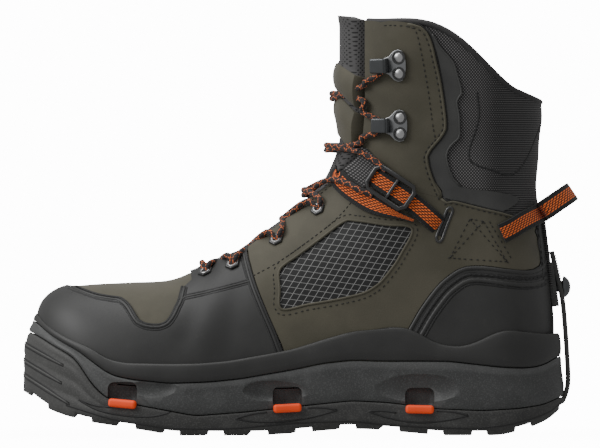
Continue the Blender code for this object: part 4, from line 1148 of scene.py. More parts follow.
# %% Take the places of the CAD panels
attach(upper, "dark_fabric", "upper")
attach(vamp, "olive_fabric")
SLOTS = {OLIVE: "olive_fabric", RUBBER: "smooth_rubber", GRID: "dark_mesh", FILM: "dark_fabric"}
for node, obj in panels.items():
    attach(obj, SLOTS[obj.data.materials[0]], node)
attach(outsole, "sole_rubber", "outsole")
attach(sole_frame, "frame_rubber", "sole_frame")
attach(band, "smooth_rubber", "midsole")
for obj in patches:
    attach(obj, "dark_fabric")
print("replaced", len(panels) + 4)

# %% [markdown]
# ## Edges, seams and stitches
# Lines are laid on the form from side-view points. A bead is a thin cord half sunk in its panel, a
# groove is a dark one that is painted shade of a seam's groove, and stitches are short capsules along
# a line. A row of them ends in True where its line is closed.

# %% Lines on the form


def laid_line(points, side, lift, pitch=0.002, closed=False):
    """Points and normals on the form along a smooth side-view line."""
    spots = [on_form(p.x, p.y, side, lift) for p in smooth_outline(points, closed, pitch)]
    normals = [n for _, n in spots]
    count = len(normals)
    eased = []
    for i in range(count):
        total = Vector()
        for k in range(-3, 4):
            total += normals[(i + k) % count] if closed else normals[min(max(i + k, 0), count - 1)]
        eased.append(total.normalized())
    return [p for p, _ in spots], eased


def beads(name, mat, side, rows, pitch=0.002):
    """One piece of all the beads in rows of (points, lift, radius, squash)."""
    bm = bmesh.new()
    for points, lift, radius, squash, *closed in rows:
        spots, normals = laid_line(points, side, lift, pitch, bool(closed))
        join_into(bm, tube(spots, radius, 6, bool(closed), normals, squash))
    return new_object(name, bm, mat)


def stitches(name, mat, side, rows, pitch=0.0026, length=0.0019, radius=0.0003):
    """One piece of short capsules along lines given as rows of (points, lift)."""
    bm = bmesh.new()
    for points, lift, *closed in rows:
        spots, normals = laid_line(points, side, lift, 0.001, bool(closed))
        next_at = 0.0
        for spot, after, normal, at in zip(spots, spots[1:], normals, travelled(spots)):
            along = after - spot
            if at >= next_at and along.length > 1e-7:
                along.normalize()
                course = [spot + along * length * share + normal * radius * rise
                          for share, rise in ((0, -0.6), (0.2, 0.5), (0.8, 0.5), (1, -0.6))]
                capsule(bm, course, radius, normal)
                next_at = at + pitch
    return new_object(name, bm, mat, fix_normals=False)


def capsule(bm, points, radius, normal):
    """A small five-sided capsule added to a mesh."""
    along = (points[-1] - points[0]).normalized()
    other = along.cross(normal).normalized()
    rings = []
    for i, point in enumerate(points):
        size = radius * (0.5 if i in (0, len(points) - 1) else 1.0)
        rings.append([bm.verts.new(point + (normal * math.sin(turn) * 0.8 + other * math.cos(turn)) * size)
                      for turn in (0.0, 1.257, 2.513, 3.770, 5.027)])
    loft(bm, rings)


def inside(points, amount):
    """Closed side-view outline moved inwards."""
    return [side_share(*p) for p in grown(smooth_outline(points, True, 0.003), -amount)]


def shift_line(points, amount):
    """Open side-view line moved forward along X."""
    return [(u + amount / BOOT_LENGTH, v) for u, v in points]


def inside_line(points, amount):
    """Open side-view line moved to its left along its course, heel to the left."""
    flat = smooth_outline(points, False, 0.003)
    out = []
    for i, p in enumerate(flat):
        along = flat[min(i + 1, len(flat) - 1)] - flat[max(i - 1, 0)]
        away = Vector((-along.y, along.x)).normalized() * amount
        out.append(side_share(p.x + away.x, p.y + away.y))
    return out


print("line helpers ready")

# %% Seam lines
CAP_TOP = TOE_CAP[:16]
BAND = (
    (0.587, 0.341), (0.581, 0.299), (0.570, 0.243), (0.552, 0.174), (0.535, 0.115), (0.520, 0.055),
    (0.507, 0.004),
)
STAY_LOW = ((0.712, 0.199), (0.703, 0.211), (0.655, 0.228), (0.618, 0.243), (0.577, 0.260))
COUNTER_EDGE = COUNTER[1:17]
QUARTER_TOP = (
    (0.224, 0.468), (0.218, 0.472), (0.208, 0.472), (0.190, 0.466), (0.157, 0.453), (0.118, 0.438),
    (0.083, 0.421), (0.058, 0.409),
)
QUARTER_EDGE = tuple(reversed(QUARTER[12:20]))
SHAFT_EDGE = SHAFT_PANEL[2:17]
SHAFT_STITCH = (
    (0.333, 0.966), (0.312, 0.966), (0.288, 0.962), (0.276, 0.950), (0.268, 0.905), (0.255, 0.800),
    (0.246, 0.700), (0.240, 0.650),
)
THROAT_EDGE = (
    (0.666, 0.292), (0.587, 0.337), (0.520, 0.408), (0.482, 0.460), (0.443, 0.502), (0.406, 0.552),
)
EYESTAY = (
    (0.575, 0.268), (0.530, 0.305), (0.485, 0.352), (0.430, 0.415), (0.395, 0.470), (0.375, 0.520),
)
COLLAR_PAD = (
    (0.164, 0.783), (0.161, 0.708), (0.179, 0.614), (0.168, 0.582), (0.137, 0.566), (0.101, 0.552),
    (0.072, 0.597), (0.044, 0.700),
)
FRAME_BOX = ((0.177, 0.430), (0.152, 0.423), (0.110, 0.311), (0.214, 0.321))
print("seam lines", len(COUNTER_EDGE), len(SHAFT_EDGE))

# %% Beads, welts and stitches
# Name, material, slot and rows of (line, lift, radius, squash)
BEADS = (
    ("rubber_welts", RUBBER, "smooth_rubber", (
        (inside_line(CAP_TOP, 0.0017), 0.0013, 0.0011, 0.9),
        (shift_line(BAND, 0.0019), 0.0013, 0.0011, 0.9),
        (inside_line(STAY_LOW, 0.0011), 0.0014, 0.0008, 0.9),
        (inside_line(COUNTER_EDGE, 0.0010), 0.0013, 0.0014, 0.8),
        (inside_line(COUNTER_EDGE, 0.0082), 0.0012, 0.0016, 0.7),
    )),
    ("olive_rims", OLIVE, "olive_fabric", (
        (WINDOW, 0.0012, 0.0008, 0.9, True),
        (inside_line(SHAFT_EDGE, 0.0007), 0.0012, 0.0009, 0.7),
        (inside_line(QUARTER_EDGE, 0.0007), 0.0011, 0.0009, 0.7),
    )),
    ("film_rim", FILM, "dark_fabric", ((GUSSET[17:], 0.0009, 0.0006, 0.9),)),
    # Dark cords along the seams and the collar pad are painted shade, standing in for the shadow in each
    # groove
    ("seam_groove_shade", DARK_THREAD_AND_SHADE, "dark_fabric", (
        (inside_line(CAP_TOP, 0.0002), 0.0013, 0.0008, 0.7),
        (inside_line(CAP_TOP, 0.0032), 0.0015, 0.0008, 0.5),
        (shift_line(BAND, 0.0002), 0.0013, 0.0008, 0.7),
        (shift_line(BAND, 0.0036), 0.0015, 0.0008, 0.5),
        (STAY_LOW, 0.0015, 0.0007, 0.5),
        (inside_line(STAY_LOW, 0.0024), 0.0015, 0.0007, 0.5),
        (inside_line(COUNTER_EDGE, 0.0048), 0.0014, 0.0016, 0.35),
        (inside_line(COUNTER_EDGE, 0.0104), 0.0015, 0.0009, 0.5),
        (inside_line(SHAFT_EDGE, -0.0005), 0.0006, 0.0006, 0.8),
        (inside_line(QUARTER_EDGE, -0.0006), 0.0005, 0.0007, 0.8),
        (COLLAR_PAD, 0.0, 0.0006, 0.6),
    )),
)
SEWN = [
    (inside(WINDOW, -0.0030), 0.0013, True),
    (inside_line(SHAFT_EDGE, 0.0022), 0.0014),
    (SHAFT_STITCH, 0.0014),
    (QUARTER_TOP, 0.0013),
    (THROAT_EDGE[3:], 0.0014),
    (EYESTAY, 0.0013),
    (inside_line(COUNTER_EDGE, 0.0048), 0.0020),
]
BOX_LINES = ((0, 1), (1, 2), (2, 3), (3, 0), (0, 2), (1, 3))
SEWN += [((FRAME_BOX[a], FRAME_BOX[b]), 0.0013) for a, b in BOX_LINES]
SEWN.append((((0.142, 0.424), (0.101, 0.316)), 0.0013))
for side, tag in TAGS:
    for name, mat, slot, rows in BEADS:
        attach(beads(f"{name}_{tag}", mat, side, rows), slot)
    sewn = stitches("stitches_" + tag, DARK_THREAD_AND_SHADE, side, SEWN)
    attach(sewn, "dark_fabric")
    print(tag, "stitch faces", len(sewn.data.polygons))

# %% [markdown]
# ## Collar, tongue and lining
# The collar's rim is bound with a rolled edge. The tongue is a padded sheet tucked under the throat
# with two olive pads on it.

# %% Collar binding
rim_points, rim_normals = [], []
edge = throat_share(LAST)
for side, turns in ((LATERAL, range(40, -1, -1)), (MEDIAL, range(1, 41))):
    for k in turns:
        w = edge * (1 - math.cos(math.pi * k / 40)) / 2
        here = last_point(LAST, w, side)
        inward = Vector((HEEL_X + 0.075 - here.x, CENTRE_Y - here.y, 0)).normalized()
        rim_points.append(here + inward * 0.0014 - Vector((0, 0, 0.0004)))
        rim_normals.append(Vector((0, 0, 1)))
binding = new_object("collar_binding", tube(rim_points, 0.0024, 10, False, rim_normals, 0.85), BINDING)
print("binding faces", len(binding.data.polygons))

# %% Tongue
TUCK = WALL + 0.0012
PADS = ((14.5, 19.1), (19.3, 22.3))


def tongue_edge(s):
    return min(throat_share(max(s, 8.0)), 0.985)


def tongue_shares(s):
    edge = tongue_edge(s)
    return [edge - 0.13, edge - 0.08, edge - 0.03] + [lerp(edge, 1.0, k / 10) for k in range(11)]


def tongue_rise(s, w, side):
    """Lift of the tongue's outer face, the same on both sides."""
    edge = tongue_edge(s)
    raised = smooth(8.4, 10, s) * smooth(0.05, 0.30, (w - edge) / (1 - edge))
    under = TUCK + 0.0008 * (1 - smooth(8, 9, s))
    swell = 0.0
    for start, end in PADS:
        if start < s < end:
            swell = 0.0030 * math.sin(math.pi * (s - start) / (end - start)) ** 0.6
    flare = 0.0012 * smooth(25.5, LAST, s)
    return lerp(-under, 0.0002 + 0.0016 * smooth(15, 18, s) + swell + flare, raised)


TONGUE = Form(steps(6.6, LAST, 0.14), tongue_shares)
tongue = new_object("tongue_cloth", TONGUE.shell(lambda s, w, side: -TUCK - 0.0036, tongue_rise), KNIT)
pads = bmesh.new()
for start, end in PADS:
    form = Form(steps(start + 0.15, end - 0.15, 0.14), lambda s: tongue_shares(s)[3:])
    join_into(pads, form.shell(lambda s, w, side: tongue_rise(s, w, side) - 0.0004,
                               lambda s, w, side: tongue_rise(s, w, side) + 0.0008))
tongue_pads = new_object("tongue_pads", pads, OLIVE)
soften(tongue_pads, 0.0004)
print("tongue faces", len(tongue.data.polygons), len(tongue_pads.data.polygons))

# %% Attach collar and tongue
attach(binding, "dark_fabric")
attach(tongue, "dark_mesh", "tongue")
attach(tongue_pads, "olive_fabric")
print("tongue in place")

# %% Insole
CLEARANCE, THICKNESS = 0.0036, 0.0036
rings = []
bm = bmesh.new()
for s in steps(1.2, 16.2, 0.3):
    lateral, medial = last_point(s, 0.05, LATERAL), last_point(s, 0.05, MEDIAL)
    low = column(1, s) * SHAFT_HEIGHT + SEAT_HEIGHT + 0.0006
    ring = []
    for share in steps(0, 1, 1 / 12):
        y = lerp(medial.y + CLEARANCE, lateral.y - CLEARANCE, share)
        cup = abs(2 * share - 1)
        height = low + THICKNESS + 0.0016 * cup ** 4 - 0.0010 * smooth(0.9, 1, cup)
        ring.append(bm.verts.new((lateral.x, y, height)))
    for share in (0.97, 0.5, 0.03):
        y = lerp(medial.y + CLEARANCE, lateral.y - CLEARANCE, share)
        ring.append(bm.verts.new((lateral.x, y, low)))
    rings.append(ring)
loft(bm, rings)
insole = new_object("insole_cloth", bm, KNIT)
shade(insole, 50)
attach(insole, "dark_mesh", "insole")

# %% [markdown]
# ## Eyelets and hooks
# Each is modelled once from primitives around +Z, and its copies are set on the form with their own
# meshes.

# %% Hardware helpers

def facing(point, across, normal):
    """Matrix that sets a piece made around +Z on a point, with its X across and its Z along the normal."""
    turn = Matrix((across, normal.cross(across), normal)).transposed().to_4x4()
    return Matrix.Translation(point) @ turn


def copied(obj, name):
    """Copy of a piece with its own mesh."""
    copy = obj.copy()
    copy.data = obj.data.copy()
    copy.name = name
    bpy.context.collection.objects.link(copy)
    return copy


def merge(name, *objs):
    """Joins pieces into the first one."""
    activate(*objs)
    bpy.ops.object.join()
    objs[0].name = name
    return objs[0]


def taken(name, mat=None, scale=(1, 1, 1)):
    """The primitive that was just added, with its name and material, and its place and scale applied."""
    obj = bpy.context.object
    obj.name, obj.scale = name, scale
    activate(obj)
    bpy.ops.object.transform_apply(location=True, rotation=True, scale=True)
    if mat:
        obj.data.materials.append(mat)
    return obj


def box_piece(name, size, place, mat, bevel, segments=3):
    """Cube with rounded edges."""
    bpy.ops.mesh.primitive_cube_add(size=1.0, location=place)
    obj = taken(name, mat, size)
    soften(obj, bevel, segments)
    return obj


def ring_piece(name, radius, tube_radius, place, mat, major=32, minor=10, squash=1.0):
    bpy.ops.mesh.primitive_torus_add(major_radius=radius, minor_radius=tube_radius, major_segments=major,
                                     minor_segments=minor, location=place)
    obj = taken(name, mat, (1, 1, squash))
    shade(obj)
    return obj


print("hardware helpers ready")

# %% Eyelets
EYELETS = ((0.661, 0.277), (0.611, 0.299), (0.531, 0.369), (0.454, 0.455))
rim = ring_piece("rim", 0.0037, 0.0012, (0, 0, 0.0004), BLACK_GLOSS, 6, 8, 0.8)
soften(rim, 0.0003, 2, 20)
barrel = ring_piece("barrel", 0.0024, 0.0006, (0, 0, 0.0007), STEEL)
# A dark disc in the eyelet's opening is painted shade of the hole
bpy.ops.mesh.primitive_cylinder_add(vertices=32, radius=0.0022, depth=0.0004, location=(0, 0, 0.0002))
pattern = merge("eyelet_pattern", rim, barrel, taken("eyelet_hole_shade", DARK_THREAD_AND_SHADE))
for side, tag in TAGS:
    for number, (u, v) in enumerate(EYELETS, 1):
        point, normal = on_form(*side_place(u, v), side, 0.0018 if number < 3 else 0.0014)
        eyelet = copied(pattern, f"eyelet_ring_{tag}_{number}")
        eyelet.data.transform(facing(point, Vector((0.5, 0, 1)).cross(normal).normalized(), normal))
        attach(eyelet, "gunmetal", f"eyelet_{tag}_{number}")
bpy.data.objects.remove(pattern)
print("eyelets", 2 * len(EYELETS))

# %% Hooks
HOOKS = ((0.316, 0.855), (0.314, 0.688))
PLATE = (
    (6.0, 4.2), (2.6, 5.4), (-0.6, 8.6), (-3.2, 9.6), (-6.0, 8.8), (-7.4, 6.2), (-8.2, 2.2),
    (-8.2, -2.2), (-7.4, -6.2), (-6.0, -8.8), (-3.2, -9.6), (-0.6, -8.6), (2.6, -5.4), (6.0, -4.2),
)
bm = bmesh.new()
face = bm.faces.new([bm.verts.new((x * MM, y * MM, 0.0004)) for x, y in PLATE])
lid = bmesh.ops.extrude_face_region(bm, geom=[face])
raised = [item for item in lid["geom"] if isinstance(item, bmesh.types.BMVert)]
bmesh.ops.translate(bm, vec=(0, 0, 0.0010), verts=raised)
plate = new_object("plate", bm, PLATED)
soften(plate, 0.0004, 3, 60)
parts = [plate]
for y in (-0.0048, 0.0048):
    bpy.ops.mesh.primitive_uv_sphere_add(segments=24, ring_count=12, radius=0.0031,
                                         location=(-0.0038, y, 0.0010))
    parts.append(taken("rivet", STEEL, (1, 1, 0.5)))
    shade(parts[-1])
    parts.append(ring_piece("collar", 0.0036, 0.0006, (-0.0038, y, 0.0013), BLACK_GLOSS, 28, 6))
parts.append(box_piece("foot", (0.0044, 0.0086, 0.0018), (0.0052, 0, 0.0016), GUNMETAL, 0.0005))
parts.append(box_piece("cap", (0.0092, 0.0088, 0.0024), (0.0080, 0, 0.0060), GUNMETAL, 0.0011))
parts.append(box_piece("bridge", (0.0016, 0.0086, 0.0046), (0.0035, 0, 0.0040), GUNMETAL, 0.0004))
pattern = merge("hook_pattern", *parts)
for side, tag in TAGS:
    for number, (u, v) in enumerate(HOOKS, 1):
        point, normal = on_form(*side_place(u, v), side, 0.0014)
        across = Vector((0, 0, 1)).cross(normal).normalized()
        hook = copied(pattern, f"hook_{tag}_{number}")
        if across.x < 0:
            hook.data.transform(Matrix.Scale(-1, 4, (1, 0, 0)))
            hook.data.flip_normals()
        hook.data.transform(facing(point, across, normal))
        attach(hook, "gunmetal", f"lace_hook_{tag}_{number}")
bpy.data.objects.remove(pattern)
print("hooks", 2 * len(HOOKS))

# %% [markdown]
# ## Webbing
# Straps are flat bands with their own UV map: U runs along in metres and V across from 0 to 1, which
# the woven pattern reads.

# %% Straps
WEBBING_WIDTH = 0.0118
# Outline of a strap's section: shares of its width and thickness
STRAP_SECTION = (
    (-0.5, 0.0), (-0.47, 0.42), (-0.36, 0.5), (-0.12, 0.5), (0.12, 0.5), (0.36, 0.5), (0.47, 0.42),
    (0.5, 0.0), (0.47, -0.42), (0.30, -0.5), (-0.30, -0.5), (-0.47, -0.42),
)


def strap(name, points, normals, width, thickness, mat, taper=(1.0, 1.0)):
    """Flat band along a route with rounded edges and a UV map; taper scales its width at each end."""
    bm = bmesh.new()
    bm.loops.layers.uv.new("UVMap")
    rings = []
    for i, point in enumerate(points):
        before, after = points[max(i - 1, 0)], points[min(i + 1, len(points) - 1)]
        along = (after - before).normalized()
        normal = (normals[i] - along * normals[i].dot(along)).normalized()
        across = along.cross(normal) * lerp(*taper, smooth(0.45, 1.0, i / (len(points) - 1)))
        rings.append([bm.verts.new(point + across * a * width + normal * b * thickness)
                      for a, b in STRAP_SECTION])
    distance = travelled(points)
    loft(bm, rings, False, lambda i, k: (distance[i], STRAP_SECTION[k % len(STRAP_SECTION)][0] + 0.5))
    obj = new_object(name, bm, mat)
    shade(obj, 50)
    return obj


def smooth_route(points, normals, parts=6):
    """Smooth curve through points, with its normals blended."""
    out, turned = [], []
    for i in range(len(points) - 1):
        for k in range(parts):
            out.append(curve(four_around(points, i), k / parts))
            turned.append(normals[i].lerp(normals[i + 1], k / parts).normalized())
    return out + [points[-1]], turned + [normals[-1]]


ANKLE_STRAP = (
    (0.430, 0.575), (0.418, 0.548), (0.400, 0.517), (0.372, 0.486), (0.345, 0.462), (0.310, 0.440),
    (0.280, 0.424),
)
TOP_STRAND = (
    (0.350, 0.545), (0.325, 0.519), (0.303, 0.496), (0.275, 0.464), (0.250, 0.432), (0.234, 0.411),
)
# Node, route, lift and share of its width at its end
STRANDS = (("ankle_strap", ANKLE_STRAP, 0.0030, 0.22), ("ankle_strand", TOP_STRAND, 0.0034, 1.0))
for side, tag in TAGS:
    for node, route, lift, end in STRANDS:
        spots, normals = laid_line(route, side, lift, 0.003)
        if node == "ankle_strand":
            spots[-1] -= normals[-1] * 0.0022
            spots[-2] -= normals[-2] * 0.0008
        piece = strap(f"{node}_{tag}_webbing", spots, normals, WEBBING_WIDTH, 0.0013, WEBBING, (1.0, end))
        attach(piece, "webbing", f"{node}_{tag}")
print("straps laid")

# %% Adjuster and slot
# Corners of the adjuster's frame: share along the upper strand and side
FRAME_CORNERS = (
    (0.0, -1), (0.5, -1), (1.0, -1), (1.06, -0.6), (1.06, 0.6), (1.0, 1), (0.5, 1), (0.0, 1),
    (-0.06, 0.6), (-0.06, -0.6),
)
SLOT_LINE = ((0.2085, 0.452), (0.2125, 0.461), (0.2190, 0.455), (0.2290, 0.417), (0.2390, 0.378),
             (0.2350, 0.366), (0.2285, 0.372), (0.2185, 0.412))
# Line of the slot's opening, where a flat dark strip is painted shade
SLOT_HOLE_SHADE = ((0.2150, 0.448), (0.2238, 0.415), (0.2325, 0.382))
for side, tag in TAGS:
    route, normals = laid_line(TOP_STRAND, side, 0.0034, 0.001)
    first, middle, last = 2, 12, 21
    along = (route[last] - route[first]).normalized()
    corners, outward = [], []
    for a, b in FRAME_CORNERS:
        at = min(max(int(first + a * (last - first)), 0), len(route) - 1)
        across = normals[at].cross(along).normalized()
        beyond = along * (a - min(max(a, 0), 1)) * 0.02
        corners.append(route[at] + beyond + across * b * 0.0078 + normals[at] * 0.0016)
        outward.append(normals[at])
    frame_mesh = tube(corners, 0.0015, 10, True, outward, 0.8)
    across = normals[middle].cross(along).normalized()
    bar = [route[middle] + across * b * 0.0074 + normals[middle] * (0.0019 - abs(b) * 0.0004)
           for b in (-1, -0.5, 0, 0.5, 1)]
    join_into(frame_mesh, tube(bar, 0.0010, 8, False, [normals[middle]] * 5, 0.7))
    adjuster = new_object(f"adjuster_frame_{tag}", frame_mesh, BLACK_GLOSS)
    attach(adjuster, "black_plastic", f"strap_adjuster_{tag}")
    # Inside the slot's rim, the opening is a flat dark strip of painted shade
    for name, mat, row in (("slot_rim", BLACK_GLOSS, (SLOT_LINE, 0.0014, 0.0009, 0.7, True)),
                           ("slot_hole_shade", DARK_THREAD_AND_SHADE, (SLOT_HOLE_SHADE, 0.0010, 0.0024, 0.2))):
        attach(beads(f"{name}_{tag}", mat, side, [row], 0.001), "black_plastic")
print("adjusters and slots")

# %% Heel pull loop
LOOP_SLOPE = 0.68
LOOP_SIDE = ((0.121, 0.388), (0.104, 0.402), (0.085, 0.420), (0.066, 0.436), (0.052, 0.447))
points, normals = [], []
for u, v in LOOP_SIDE:
    spot, normal = on_form(*side_place(u, v), LATERAL, 0.0028)
    points.append(Vector((spot.x, spot.y - CENTRE_Y, spot.z)))
    normals.append(normal)
height = points[-1].z
for x, y in ((0.0118, 0.0212), (0.0072, 0.0188), (0.0026, 0.0156), (-0.0012, 0.0112), (-0.0034, 0.0058),
             (-0.0040, 0.0)):
    points.append(Vector((HEEL_X + x, y, height + (points[4].x - HEEL_X - x) * LOOP_SLOPE)))
    course = points[-1] - points[-2]
    normals.append(course.cross(Vector((LOOP_SLOPE, 0, 1))).normalized())
for k, share in ((2, 0.35), (3, 0.7), (4, 1.0)):
    course = (points[k + 1] - points[k - 1]).cross(Vector((LOOP_SLOPE, 0, 1))).normalized()
    normals[k] = normals[k].lerp(course, share).normalized()
normals[-1] = Vector((-1, 0, LOOP_SLOPE)).normalized()
mirror = Matrix.Scale(-1, 3, (0, 1, 0))
points += [mirror @ p for p in reversed(points[:-1])]
normals += [mirror @ n for n in reversed(normals[:-1])]
points = [p + Vector((0, CENTRE_Y, 0)) for p in points]
pull_loop = strap("heel_loop_webbing", *smooth_route(points, normals), WEBBING_WIDTH, 0.0015, WEBBING)
attach(pull_loop, "webbing", "heel_pull_loop")
print("pull loop length", round(travelled(points)[-1], 3))

# %% [markdown]
# ## Heel strap and post
# A rubber strap with a row of knurls at its top runs down over a domed post.

# %% Heel strap
KNOB_Z = SEAT_HEIGHT + 0.2406 * SHAFT_HEIGHT
BACKWARDS = Vector((-1, 0, 0))
# Forward of the heel and above the floor, in millimetres
STRAP_ROUTE = (
    (1.4, 20), (-0.2, 24), (-1.4, 29), (-1.7, 35), (-1.2, 45), (-0.2, 60), (1.4, 78), (3.4, 88),
    (5.5, 97), (8.0, 108),
)
# Radius from the post's axis and height along it
KNOB_PROFILE = (
    (0.0, 0.0046), (0.0020, 0.0044), (0.0040, 0.0036), (0.0056, 0.0022), (0.0064, 0.0008),
    (0.0062, 0.0), (0.0036, -0.0004), (0.0030, -0.0012), (0.0030, -0.0062), (0.0, -0.0062),
)
points = [Vector((HEEL_X + x * MM, CENTRE_Y, z * MM)) for x, z in STRAP_ROUTE]
points, normals = smooth_route(points, [BACKWARDS] * len(points), 5)
heel_strap = strap("heel_strap_rubber", points, normals, 0.0158, 0.0028, TREAD_RUBBER)
knurls = bmesh.new()
for k in range(11):
    z = 0.0905 + k * 0.0015
    x = HEEL_X + lerp(0.0040, 0.0077, (z - 0.0905) / 0.0165) - 0.0014
    row = [Vector((x, CENTRE_Y + y, z)) for y in (-0.0070, -0.0035, 0.0, 0.0035, 0.0070)]
    join_into(knurls, tube(row, 0.00055, 6, False, [BACKWARDS] * 5))
knurl = new_object("heel_strap_knurl", knurls, TREAD_RUBBER)


def on_back(z, lift):
    """Point and normal on the form's back line at a height."""
    point = SKIN.ray_cast(Vector((HEEL_X - 0.1, CENTRE_Y, z)), Vector((1, 0, 0)))[0]
    normal = skin_normal(point)
    return point + normal * lift, normal


back_spots = [on_back(z, 0.0018) for z in steps(0.088, 0.127, 0.003)]
back_edge = strap("back_binding", *zip(*back_spots), 0.0190, 0.0026, CLOTH)
base_spots = [(Vector((HEEL_X + lerp(0.0058, 0.0092, t), CENTRE_Y, lerp(0.0755, 0.1015, t))), BACKWARDS)
              for t in steps(0, 1, 0.1)]
base_pad = strap("heel_base_pad", *zip(*base_spots), 0.0180, 0.0044, TREAD_RUBBER)
bm = bmesh.new()
rings = []
for r, h in KNOB_PROFILE:
    turns = [2 * math.pi * k / 32 for k in range(32)] if r else [0.0]
    rings.append([bm.verts.new((HEEL_X + 0.0014 - h, CENTRE_Y + r * math.cos(a), KNOB_Z + r * math.sin(a)))
                  for a in turns])
for near, far in zip(rings, rings[1:]):
    for k in range(32):
        n = (k + 1) % 32
        corners = (near[k % len(near)], near[n % len(near)], far[n % len(far)], far[k % len(far)])
        bm.faces.new(list(dict.fromkeys(corners)))
knob = new_object("heel_knob", bm, GUNMETAL)
shade(knob, 30)
attach(heel_strap, "sole_rubber", "heel_strap")
attach(knurl, "sole_rubber")
attach(knob, "gunmetal", "heel_post")
attach(back_edge, "dark_fabric")
attach(base_pad, "sole_rubber")
print("heel strap", round(points[0].z, 4), round(points[-1].z, 4))

# %% [markdown]
# ## Laces
# One round cord crosses the throat from eyelet to eyelet, runs past the ankle straps and goes up to
# the hooks. Each crossing is a smooth route from one side to the other, and its ends go into the
# eyelets or behind the hooks.

# %% Lace helpers
LACE_HALF = 0.0017
UP = Vector((0, 0, 1))


def across_side(u, v, side, lift):
    return on_form(*side_place(u, v), side, lift)[0]


def crossing(near, crest, far, flip, over):
    """Route from the near side's places over the crest to the far side's places."""
    side = LATERAL if flip else MEDIAL
    points = [across_side(u, v, side, lift) for u, v, lift in near]
    x, z = side_place(*crest)
    points.append(Vector((x, CENTRE_Y + side * 0.006, z - LACE_HALF - 0.0012 + over)))
    points.append(Vector((x, CENTRE_Y - side * 0.006, z - LACE_HALF - 0.0012 + over)))
    points += [across_side(u, v, -side, lift) for u, v, lift in reversed(far)]
    return smooth_route(points, [UP] * len(points), 7)[0]


print("lace helpers ready")

# %% Thread the laces
E1, E2, E3, E4 = EYELETS
# Each row: places on the near side, the crest over the tongue, places on the far side
CROSSINGS = (
    ([(*E1, 0.0006), (0.664, 0.292, 0.0040)], (0.664, 0.3100), [(*E1, 0.0006), (0.664, 0.292, 0.0040)]),
    ([(*E1, 0.0006), (0.650, 0.291, 0.0040)], (0.6365, 0.328), [(*E2, 0.0006), (0.618, 0.314, 0.0040)]),
    ([(*E2, 0.0006), (0.600, 0.316, 0.0040)], (0.581, 0.370), [(*E3, 0.0006), (0.545, 0.380, 0.0040)]),
    ([(*E3, 0.0006), (0.518, 0.388, 0.0040)], (0.520, 0.446), [(*E4, 0.0006), (0.472, 0.466, 0.0040)]),
    ([(*E4, 0.0006), (0.446, 0.476, 0.0040)], (0.478, 0.524),
     [(0.352, 0.492, 0.0040), (0.372, 0.505, 0.0058), (0.391, 0.521, 0.0054), (0.426, 0.530, 0.0050)]),
    ([(0.326, 0.562, 0.0050), (0.338, 0.580, 0.0050), (0.352, 0.596, 0.0042), (0.374, 0.614, 0.0040),
      (0.398, 0.626, 0.0036)], (0.434, 0.648),
     [(0.345, 0.665, 0.0036), (0.366, 0.658, 0.0040), (0.392, 0.652, 0.0036)]),
    ([(0.3506, 0.7126, 0.0036), (0.368, 0.730, 0.0040), (0.392, 0.760, 0.0036)], (0.424, 0.792),
     [(0.345, 0.822, 0.0036), (0.362, 0.810, 0.0040), (0.388, 0.800, 0.0036)]),
)
mesh = bmesh.new()
runs = []
for number, (near, crest, far) in enumerate(CROSSINGS):
    for flip in ((True, False) if number else (True,)):
        runs.append(crossing(near, crest, far, flip, 0.0 if flip else -0.0026))
for side in SIDES:
    for low_v, high_v in ((0.665, 0.7126), (0.822, 0.866)):
        turn = [across_side(u, lerp(low_v, high_v, t), side, 0.0036)
                for u, t in ((0.345, 0.0), (0.338, 0.2), (0.3345, 0.5), (0.340, 0.8), (0.3506, 1.0))]
        runs.append(smooth_route(turn, [UP] * 5, 5)[0])
for run in runs:
    join_into(mesh, tube(run, LACE_HALF, 10, mapped=True))
lace = new_object("lace", mesh, LACE, fix_normals=False)
shade(lace, 60)
attach(lace, "lace_cord", *[f"lace_bar_{k}" for k in range(1, 8)])
print("lace shown", round(sum(travelled(run)[-1] for run in runs), 3), "m")

# %% [markdown]
# ## Lock tabs and the sole's relief
# The tabs are rounded blocks in windows of the sole frame. A groove is a dark cord half sunk in the
# sole's side, painted shade standing in for the groove's shadow, and it stops where a notch between
# two lugs cuts its line.

# %% Places on the sole's side
LENGTH_MM, SEAT_MM = 320, 36


def on_sole(x_mm, z_mm, side, out):
    """Point on the sole's side at millimetres forward of the heel and above the floor."""
    z = z_mm * MM
    u = x_mm * MM / BOOT_LENGTH
    for _ in range(4):
        u = min((x_mm * MM + toe_lean(u, z)) / BOOT_LENGTH, 0.9999)
    y = side * (sole_half(u, side) - 0.0006 + out)
    return Vector((HEEL_X + u * BOOT_LENGTH - toe_lean(u, z), y + centre_line(u), z))


def sole_line(points, side, out, pitch=0.0015):
    flat = smooth_outline([side_share(HEEL_X + x * MM, z * MM) for x, z in points], False, pitch)
    return [on_sole((p.x - HEEL_X) / MM, p.y / MM, side, out) for p in flat]


def snapped(points, tree, sink):
    """Points moved to the sole's real side, or None where it has a notch, with the directions they face."""
    spots, faces_to = [], []
    for point in points:
        middle_x = min(max(point.x, HEEL_X + 0.12 * BOOT_LENGTH), HEEL_X + 0.84 * BOOT_LENGTH)
        middle = Vector((middle_x, CENTRE_Y, point.z))
        away = (point - middle).normalized()
        hit = tree.ray_cast(point + away * 0.02, -away)[0]
        near = hit is not None and (hit - point).length < 0.004
        spots.append(hit - away * sink if near else None)
        faces_to.append(away)
    return spots, faces_to


def sole_lines(name, mat, tree, lines, radius, sink, squash=1.0):
    """One piece of cords along lines on the sole's side, split at its notches."""
    bm = bmesh.new()
    for line in lines:
        spots, faces_to = snapped(line, tree, sink)
        run = []
        for k, spot in enumerate(spots + [None]):
            if spot is not None:
                run.append(k)
                continue
            if len(run) > 2:
                outward = [faces_to[i] for i in run]
                join_into(bm, tube([spots[i] for i in run], radius, 6, False, outward, squash))
            run = []
    return new_object(name, bm, mat)


print("sole helpers ready")

